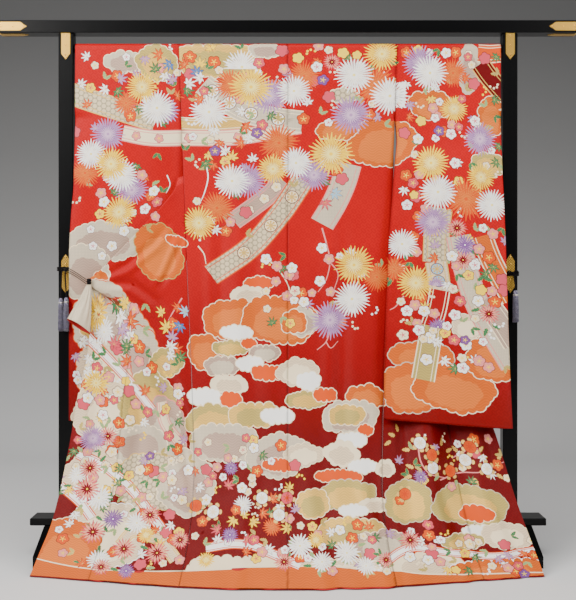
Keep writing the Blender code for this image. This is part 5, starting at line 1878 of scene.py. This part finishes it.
def joined(name, parts, finishes):
    """One piece from (corners, faces, cloth, finish number) parts."""
    corners, faces, cloth, numbers = [], [], [], []
    count = 0
    for these, own, where, finish in parts:
        corners.append(these)
        cloth.append(where)
        faces += [[count + k for k in face] for face in own]
        numbers += [finish] * len(own)
        count += len(these)
    where = np.concatenate(cloth)[[k for face in faces for k in face]]
    made = piece(name, np.concatenate(corners).tolist(), faces, where, finishes)
    made.data.polygons.foreach_set("material_index", numbers)
    return made


def make_thread(name, colour, twist, rough, sheen=0.4):
    """Silk thread: fine twisted strands round a cord."""
    made, tree, shader = new_material(
        name, colour, rough, Sheen_Weight=sheen, Sheen_Roughness=0.35, Specular_IOR_Level=sheen
    )
    _, around, along = cloth_place(tree)
    strands = (around * 4.0 + along * twist).wave(1.0)
    # Painted shade and painted highlight: the colour runs darker in the grooves between strands and lighter
    # on their crowns
    ramp = tree.nodes.new("ShaderNodeMixRGB")
    ramp.inputs["Color1"].default_value = (*[c * 0.45 for c in colour], 1.0)
    ramp.inputs["Color2"].default_value = (*[min(1.0, c * 1.25) for c in colour], 1.0)
    tree.links.new((strands * 0.5 + 0.5).socket, ramp.inputs["Fac"])
    tree.links.new(ramp.outputs[0], shader.inputs["Base Color"])
    bump(tree, shader, strands, 0.8, 0.0004)
    return made


dark_cord = make_thread("dark_cord", (0.007, 0.005, 0.006), 420.0, 0.62, 0.08)
tassel_thread = make_thread("tassel_thread", (0.20, 0.18, 0.27), 60.0, 0.55)
pale_band = make_thread("pale_band", (0.62, 0.58, 0.55), 0.0, 0.6)

# %% The cord wound round each post
POST_X, POST_WIDTH, POST_DEPTH, PLATE = 0.675, 0.0445, 0.044, 0.0012
CORD_R, TURNS = 0.0021, 3
WRAP_Z = {-1: 0.865, 1: 0.850}


def round_post(side, height):
    """A closed path round a post, a cord's radius off it."""
    half_x = POST_WIDTH / 2 + GAP
    half_y = POST_DEPTH / 2 + GAP + PLATE + GAP
    path = []
    for cx, cy, start in ((1, 1, 0), (-1, 1, 1), (-1, -1, 2), (1, -1, 3)):
        for k in range(6):
            angle = math.pi / 2 * (start + k / 5)
            path.append(
                (
                    side * POST_X + cx * half_x + CORD_R * math.cos(angle),
                    RAIL_Y + cy * half_y + CORD_R * math.sin(angle),
                    height,
                )
            )
    return path


def spun(places, per=8):
    return through([(x, RAIL_Y - ahead, z) for x, ahead, z in places], per)


for side, word in ((-1, "left"), (1, "right")):
    turns = []
    for k in range(TURNS):
        height = WRAP_Z[side] + (k - (TURNS - 1) / 2) * 2 * CORD_R
        turns.append((*tube(round_post(side, height), CORD_R * 0.99, True), 0))
    if side > 0:
        # The bow's two loops and the band over them, as places from its middle, in millimetres
        bow = [
            [(0, 0, 0), (10, 0, 10), (17, 0, 4), (10, 0, -3), (0, 0, 0)],
            [(0, 0, 0), (-10, 0, 9), (-16, 0, 3), (-9, 0, -4), (0, 0, 0)],
            [(-3, 1, 4), (1, 3, 0), (3, 1, -4)],
        ]
        for route in bow:
            route = np.array(route) / 1000 + [0.6810, 0.0310, WRAP_Z[1]]
            turns.append((*tube(spun(route), CORD_R * 0.85), 0))
    wound = joined(f"post_turns_{word}", turns, [dark_cord])
    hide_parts(f"post_cord_{word}")

# %% The knot and the strands that reach it
KNOT, KNOT_HALF = (-0.592, 0.0875, 0.826), (0.0078, 0.0058, 0.0095)
kx, ka, kz = KNOT
loops = []
LOOPS = [(-0.0062, 0.0012), (-0.0021, -0.0008), (0.0021, 0.0006), (0.0062, -0.001)]
for k, (lift, tilt) in enumerate(LOOPS):
    angle = np.arange(28) * 2 * math.pi / 28
    swell = 1 - 0.35 * (lift / KNOT_HALF[2]) ** 2
    path = np.stack(
        [
            kx + np.cos(angle) * (KNOT_HALF[0] - 0.002) * swell,
            RAIL_Y - ka + np.sin(angle) * (KNOT_HALF[1] - 0.002) * swell,
            kz + lift + np.sin(angle + k) * tilt,
        ],
        axis=-1,
    )
    loops.append((*tube(path, CORD_R, True), 0))
core = [(kx, ka, kz - 0.009), (kx, ka, kz - 0.004), (kx, ka, kz + 0.004), (kx, ka, kz + 0.009)]
loops.append((*tube(spun(core), 0.0046, taper=np.linspace(1.0, 0.8, 25)), 0))
crossing = [
    (kx - 0.004, ka + 0.005, kz + 0.006), (kx + 0.000, ka + 0.0075, kz), (kx + 0.004, ka + 0.005, kz - 0.006)
]
loops.append((*tube(spun(crossing), CORD_R * 0.9), 0))
knot = joined("tied_knot", loops, [dark_cord])
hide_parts("tie_knot")

face = POST_DEPTH / 2 + PLATE + 3 * GAP + 2 * CORD_R
end_x = kx - KNOT_HALF[0] - 2 * GAP
STRAND_R = 0.0011
for k, lift in enumerate((0.0060, 0.0, -0.0060)):
    route = [
        (-0.6770, face + GAP, WRAP_Z[-1] + lift + 3 * GAP),
        (-0.6760, face + 0.014, WRAP_Z[-1] + lift + 2 * GAP),
        (-0.6640, 0.0600, WRAP_Z[-1] - 0.003 + lift),
        (-0.6400, 0.0740, WRAP_Z[-1] - 0.014 + lift),
        (end_x, ka - 0.001, kz + lift),
    ]
    steps = length_of(np.diff(np.array(route), axis=0), axis=1)
    at = np.append(0.0, np.cumsum(steps))
    fine = np.linspace(0.0, at[-1], 30)
    path = np.stack([smooth(fine, at, np.array(route)[:, j]) for j in range(3)], axis=-1)
    path[:, 1] = RAIL_Y - path[:, 1]
    strand = joined(f"tie_strand_{k + 1}", [(*tube(path, STRAND_R), 0)], [dark_cord])
    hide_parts(f"tie_cord_{k + 1}")
    long = float(length_of(np.diff(path, axis=0), axis=1).sum())

# %% The tassels
HEAD_LONG, HANGING_R, THREAD_R = 0.016, 0.0019, 0.00078
# The head and its pale band as turned forms: millimetres below the top, share of the tassel's radius
HEAD_FORM = [
    (-3, 0.25), (-2, 0.48), (0, 0.62), (4, 0.78), (7.5, 0.80), (10, 0.74), (12, 0.66), (14.2, 0.72),
    (16, 0.90), (19, 0.88), (20, 0.3),
]
BAND_FORM = [(9, 0.70), (9.4, 0.86), (11, 0.90), (12.6, 0.88), (13.2, 0.66)]
# Name, the tassel's x, its cord's x above, distance ahead, top, radius, length, number of threads
TASSELS = [
    ("tassel_left_outer", -0.6850, -0.6850, 0.046, 0.774, 0.0080, 0.098, 74),
    ("tassel_left_inner", -0.6660, -0.6745, 0.058, 0.776, 0.0080, 0.100, 74),
    ("tassel_right", 0.6870, 0.6850, 0.042, 0.797, 0.0095, 0.094, 96),
]
# The turn that spreads threads evenly over a round
GOLDEN_TURN = 2.39996
wander = np.random.default_rng(5)


def turned_form(x, ahead, profile, sides=24):
    """A closed round form from (height, radius) rows, top first."""
    path = [(x, RAIL_Y - ahead, height) for height, _ in profile]
    return tube(path, 1.0, sides=sides, taper=np.array([radius for _, radius in profile]))


for name, x, hangs_x, ahead, top, radius, long, thread_count in TASSELS:
    side = -1 if x < 0 else 1
    hangs_ahead = POST_DEPTH / 2 + PLATE + 3 * GAP + CORD_R + 0.0022
    start = WRAP_Z[side] - TURNS * CORD_R - GAP
    hanging = [
        (hangs_x, hangs_ahead, start), (hangs_x, hangs_ahead + 0.004, start - 0.008),
        (x, ahead, top + 0.012), (x, ahead, top - 0.002),
    ]
    head = [(top - down / 1000, radius * wide) for down, wide in HEAD_FORM]
    band = [(top - down / 1000, radius * wide) for down, wide in BAND_FORM]
    parts = [(*tube(spun(hanging), HANGING_R), 1)]
    parts += [(*turned_form(x, ahead, head), 0), (*turned_form(x, ahead, band), 2)]
    for k in range(thread_count):
        spread_out = math.sqrt((k + 0.5) / thread_count)
        angle = k * GOLDEN_TURN + wander.uniform(-0.1, 0.1)
        root = radius * 0.84 * spread_out
        tip = radius * 1.02 * spread_out
        low = top - long * wander.uniform(0.955, 1.0)
        sway = wander.uniform(-0.0009, 0.0009, 2)
        heights = np.linspace(top - HEAD_LONG + 0.002, low, 9)
        t = np.linspace(0.0, 1.0, 9)
        reach = root + (tip - root) * np.sin(t * 2.6) * 0.9
        thread = np.stack(
            [
                x + np.cos(angle) * reach + sway[0] * t * np.sin(4 * t + k),
                RAIL_Y - ahead + np.sin(angle) * reach + sway[1] * t * np.cos(3 * t + k),
                heights,
            ],
            axis=-1,
        )
        parts.append((*tube(thread, THREAD_R, sides=5), 0))
    made = joined(f"{name}_threads", parts, [tassel_thread, dark_cord, pale_band])
    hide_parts(name)

# %% [markdown]
# ## The stand's finishes
#
# The stand's solids stay as they are. Black lacquer is a smooth dark base under a clear coat, a little
# uneven. The gilt plates have a chased diamond lattice inside a plain border, and small round nails.

# %% Lacquer and gilt
def object_place(tree):
    node = tree.nodes.new("ShaderNodeTexCoord")
    split = tree.nodes.new("ShaderNodeSeparateXYZ")
    tree.links.new(node.outputs["Object"], split.inputs[0])
    return node.outputs["Object"], [Sum(tree, split.outputs[k]) for k in range(3)]


coat = {"Specular_IOR_Level": 0.12, "Coat_Weight": 0.06, "Coat_Roughness": 0.15}
lacquer, tree, shader = new_material("black_lacquer", (0.0012, 0.0012, 0.0014), 0.30, **coat)
where, _ = object_place(tree)
bump(tree, shader, noise(tree, where, 14.0, 2.0), 0.12, 0.002)

gilt, tree, shader = new_material("chased_gilt", (0.70, 0.40, 0.07), 0.36, Metallic=0.9)
where, (gx, _, gz) = object_place(tree)
across_bar = (gx + gz).wave(64.0) * (gx - gz).wave(64.0)
lattice = across_bar.math("ABSOLUTE").math("GREATER_THAN", 0.16)
worn = noise(tree, where, 160.0)
mixed = tree.nodes.new("ShaderNodeMixRGB")
mixed.inputs["Color1"].default_value = (0.10, 0.045, 0.008, 1.0)
mixed.inputs["Color2"].default_value = (0.78, 0.46, 0.08, 1.0)
tree.links.new((lattice * 0.9 + worn * 0.25).math("MINIMUM", 1.0).socket, mixed.inputs["Fac"])
tree.links.new(mixed.outputs[0], shader.inputs["Base Color"])
bump(tree, shader, lattice, 0.8, 0.0006)

TIMBERS = ("top_bar", "hanging_rail", "post_left", "post_right", "lower_board", "foot")
for name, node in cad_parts.items():
    finish = gilt if "plate" in name else lacquer
    if "plate" in name or name.startswith(TIMBERS):
        for slot in node.material_slots:
            slot.material = finish

# %% Nails in the plates
plain_gilt, _, _ = new_material("plain_gilt", (0.80, 0.50, 0.12), 0.25, Metallic=1.0)
NAIL_R = 0.0026
nail_face = POST_DEPTH / 2 + GAP + PLATE
rail_face = 0.054 / 2 + GAP + PLATE
places = []
for side in (-1, 1):
    for height in (0.800, 0.8505 if side < 0 else 0.832, 0.8800, 0.901, 1.516, 1.545, 1.574):
        places += [(side * POST_X, way, nail_face, height) for way in (-1, 1)]
    places += [(side * along, way, rail_face, 1.601) for along in (0.8010, 0.8350, 0.8690) for way in (-1, 1)]

bpy.ops.object.select_all(action="DESELECT")
bpy.ops.mesh.primitive_uv_sphere_add(segments=14, ring_count=8, radius=NAIL_R, location=(0.0, 0.0, 0.0))
head = bpy.context.object
bpy.ops.object.mode_set(mode="EDIT")
bpy.ops.mesh.select_all(action="SELECT")
bpy.ops.transform.resize(value=(1.0, 1.0, 0.8))
bpy.ops.mesh.bisect(plane_co=(0.0, 0.0, -0.0002), plane_no=(0.0, 0.0, 1.0), clear_inner=True, use_fill=True)
bpy.ops.object.mode_set(mode="OBJECT")
bpy.ops.object.shade_smooth_by_angle(angle=math.radians(40))

nails = []
for x, way, face, z in places:
    nail = bpy.data.objects.new("nail", head.data.copy())
    bpy.context.scene.collection.objects.link(nail)
    outward = Matrix.Rotation(-way * math.pi / 2, 4, "X")
    nail.data.transform(Matrix.Translation((x, RAIL_Y + way * face, z)) @ outward)
    nails.append(nail)
bpy.data.objects.remove(head)
bpy.ops.object.select_all(action="DESELECT")
for nail in nails:
    nail.select_set(True)
bpy.context.view_layer.objects.active = nails[0]
bpy.ops.object.join()
all_nails = bpy.context.object
all_nails.name = "plate_nails"
all_nails.data.materials.append(plain_gilt)
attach(all_nails, "root")
print("nails", len(places))

# %% [markdown]
# ## What replaces what, and the cut of each sheet
#
# Each width stands for its solid. Its flat size is what the tailor's cloth measures, before seams.

SHEET_FACTS = [
    ("back_left", (0.300, 1.70), "hanging_rail"),
    ("back_right", (0.300, 1.70), "hanging_rail"),
    ("front_right", (0.245, 1.70), "hanging_rail"),
    ("okumi_right", (0.125, 1.33), "front_right"),
    ("front_left", (0.300, 1.70), "hanging_rail"),
    ("okumi_left", (0.200, 1.20), "front_left"),
]
for name, flat, rests in SHEET_FACTS:
    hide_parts(name)
for word in ("left", "right"):
    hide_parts(f"sleeve_{word}_near", f"sleeve_{word}_far")

# %% [markdown]
# ## The floor, the backdrop and the light
#
# The picture was taken on a light grey ground that runs up into a backdrop, and the paper is painted darker
# above than below, a painted shade.
# Soft light falls from both sides in front and from above.

# %% Floor and backdrop in one sweep
SWEEP_BACK, SWEEP_R = 3.4, 1.6
bend = np.linspace(0.0, math.pi / 2, 24)
arc = [(SWEEP_BACK - SWEEP_R + SWEEP_R * math.sin(a), SWEEP_R * (1 - math.cos(a))) for a in bend]
curve = [(-5.0, 0.0), *arc, (SWEEP_BACK, 6.0)]
corners = [(x, RAIL_Y + y, z) for y, z in curve for x in (-6.0, 6.0)]
faces = [(2 * k, 2 * k + 1, 2 * k + 3, 2 * k + 2) for k in range(len(curve) - 1)]
mesh = bpy.data.meshes.new("sweep")
mesh.from_pydata(corners, [], faces)
mesh.polygons.foreach_set("use_smooth", np.ones(len(faces), bool))
ground = bpy.data.objects.new("sweep", mesh)
bpy.context.scene.collection.objects.link(ground)
paper, tree, shader = new_material("paper", (0.62, 0.63, 0.64), 0.9, Specular_IOR_Level=0.1)
_, (_, _, up) = object_place(tree)
# Height on the sweep as a share of 3 m, and how pale the paper is painted there: painted shade, darker with
# height
PAPER_PAINTED_SHADE = [(0.0, 0.66), (0.06, 0.56), (0.147, 0.44), (0.357, 0.30), (0.567, 0.205), (0.80, 0.135), (1.0, 0.12)]
ramp = tree.nodes.new("ShaderNodeValToRGB")
stops = ramp.color_ramp.elements
stops[0].position, stops[0].color = PAPER_PAINTED_SHADE[0][0], (*[PAPER_PAINTED_SHADE[0][1]] * 3, 1.0)
stops[1].position, stops[1].color = PAPER_PAINTED_SHADE[-1][0], (*[PAPER_PAINTED_SHADE[-1][1]] * 3, 1.0)
for place, pale in PAPER_PAINTED_SHADE[1:-1]:
    stop = stops.new(place)
    stop.color = (pale, pale, pale, 1.0)
tree.links.new((up * (1 / 3.0)).socket, ramp.inputs["Fac"])
tree.links.new(ramp.outputs["Color"], shader.inputs["Base Color"])
mesh.materials.append(paper)
ground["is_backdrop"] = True

# %% Lights
world = bpy.data.worlds.new("room")
bpy.context.scene.world = world
world.use_nodes = True
world.node_tree.nodes["Background"].inputs["Color"].default_value = (0.75, 0.78, 0.82, 1.0)
world.node_tree.nodes["Background"].inputs["Strength"].default_value = 0.24


def area_light(name, place, aim, size, power, colour=(1.0, 0.98, 0.95)):
    data = bpy.data.lights.new(name, "AREA")
    data.shape = "RECTANGLE"
    data.size, data.size_y = size
    data.energy = power
    data.color = colour
    made = bpy.data.objects.new(name, data)
    made.location = place
    way = Vector(aim) - Vector(place)
    made.rotation_euler = way.to_track_quat("-Z", "Y").to_euler()
    bpy.context.scene.collection.objects.link(made)


area_light("left_soft", (-2.4, -2.6, 2.6), (0.0, 0.1, 0.8), (1.8, 2.2), 185)
area_light("right_soft", (2.6, -2.4, 2.2), (0.0, 0.1, 0.8), (1.6, 2.2), 70)
area_light("over", (0.0, -0.6, 3.4), (0.0, 0.2, 0.6), (2.6, 1.6), 85)

# %% Sizes
size = {
    "cad_box": cad_box,
    "visual_box": [list(corner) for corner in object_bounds()],
}
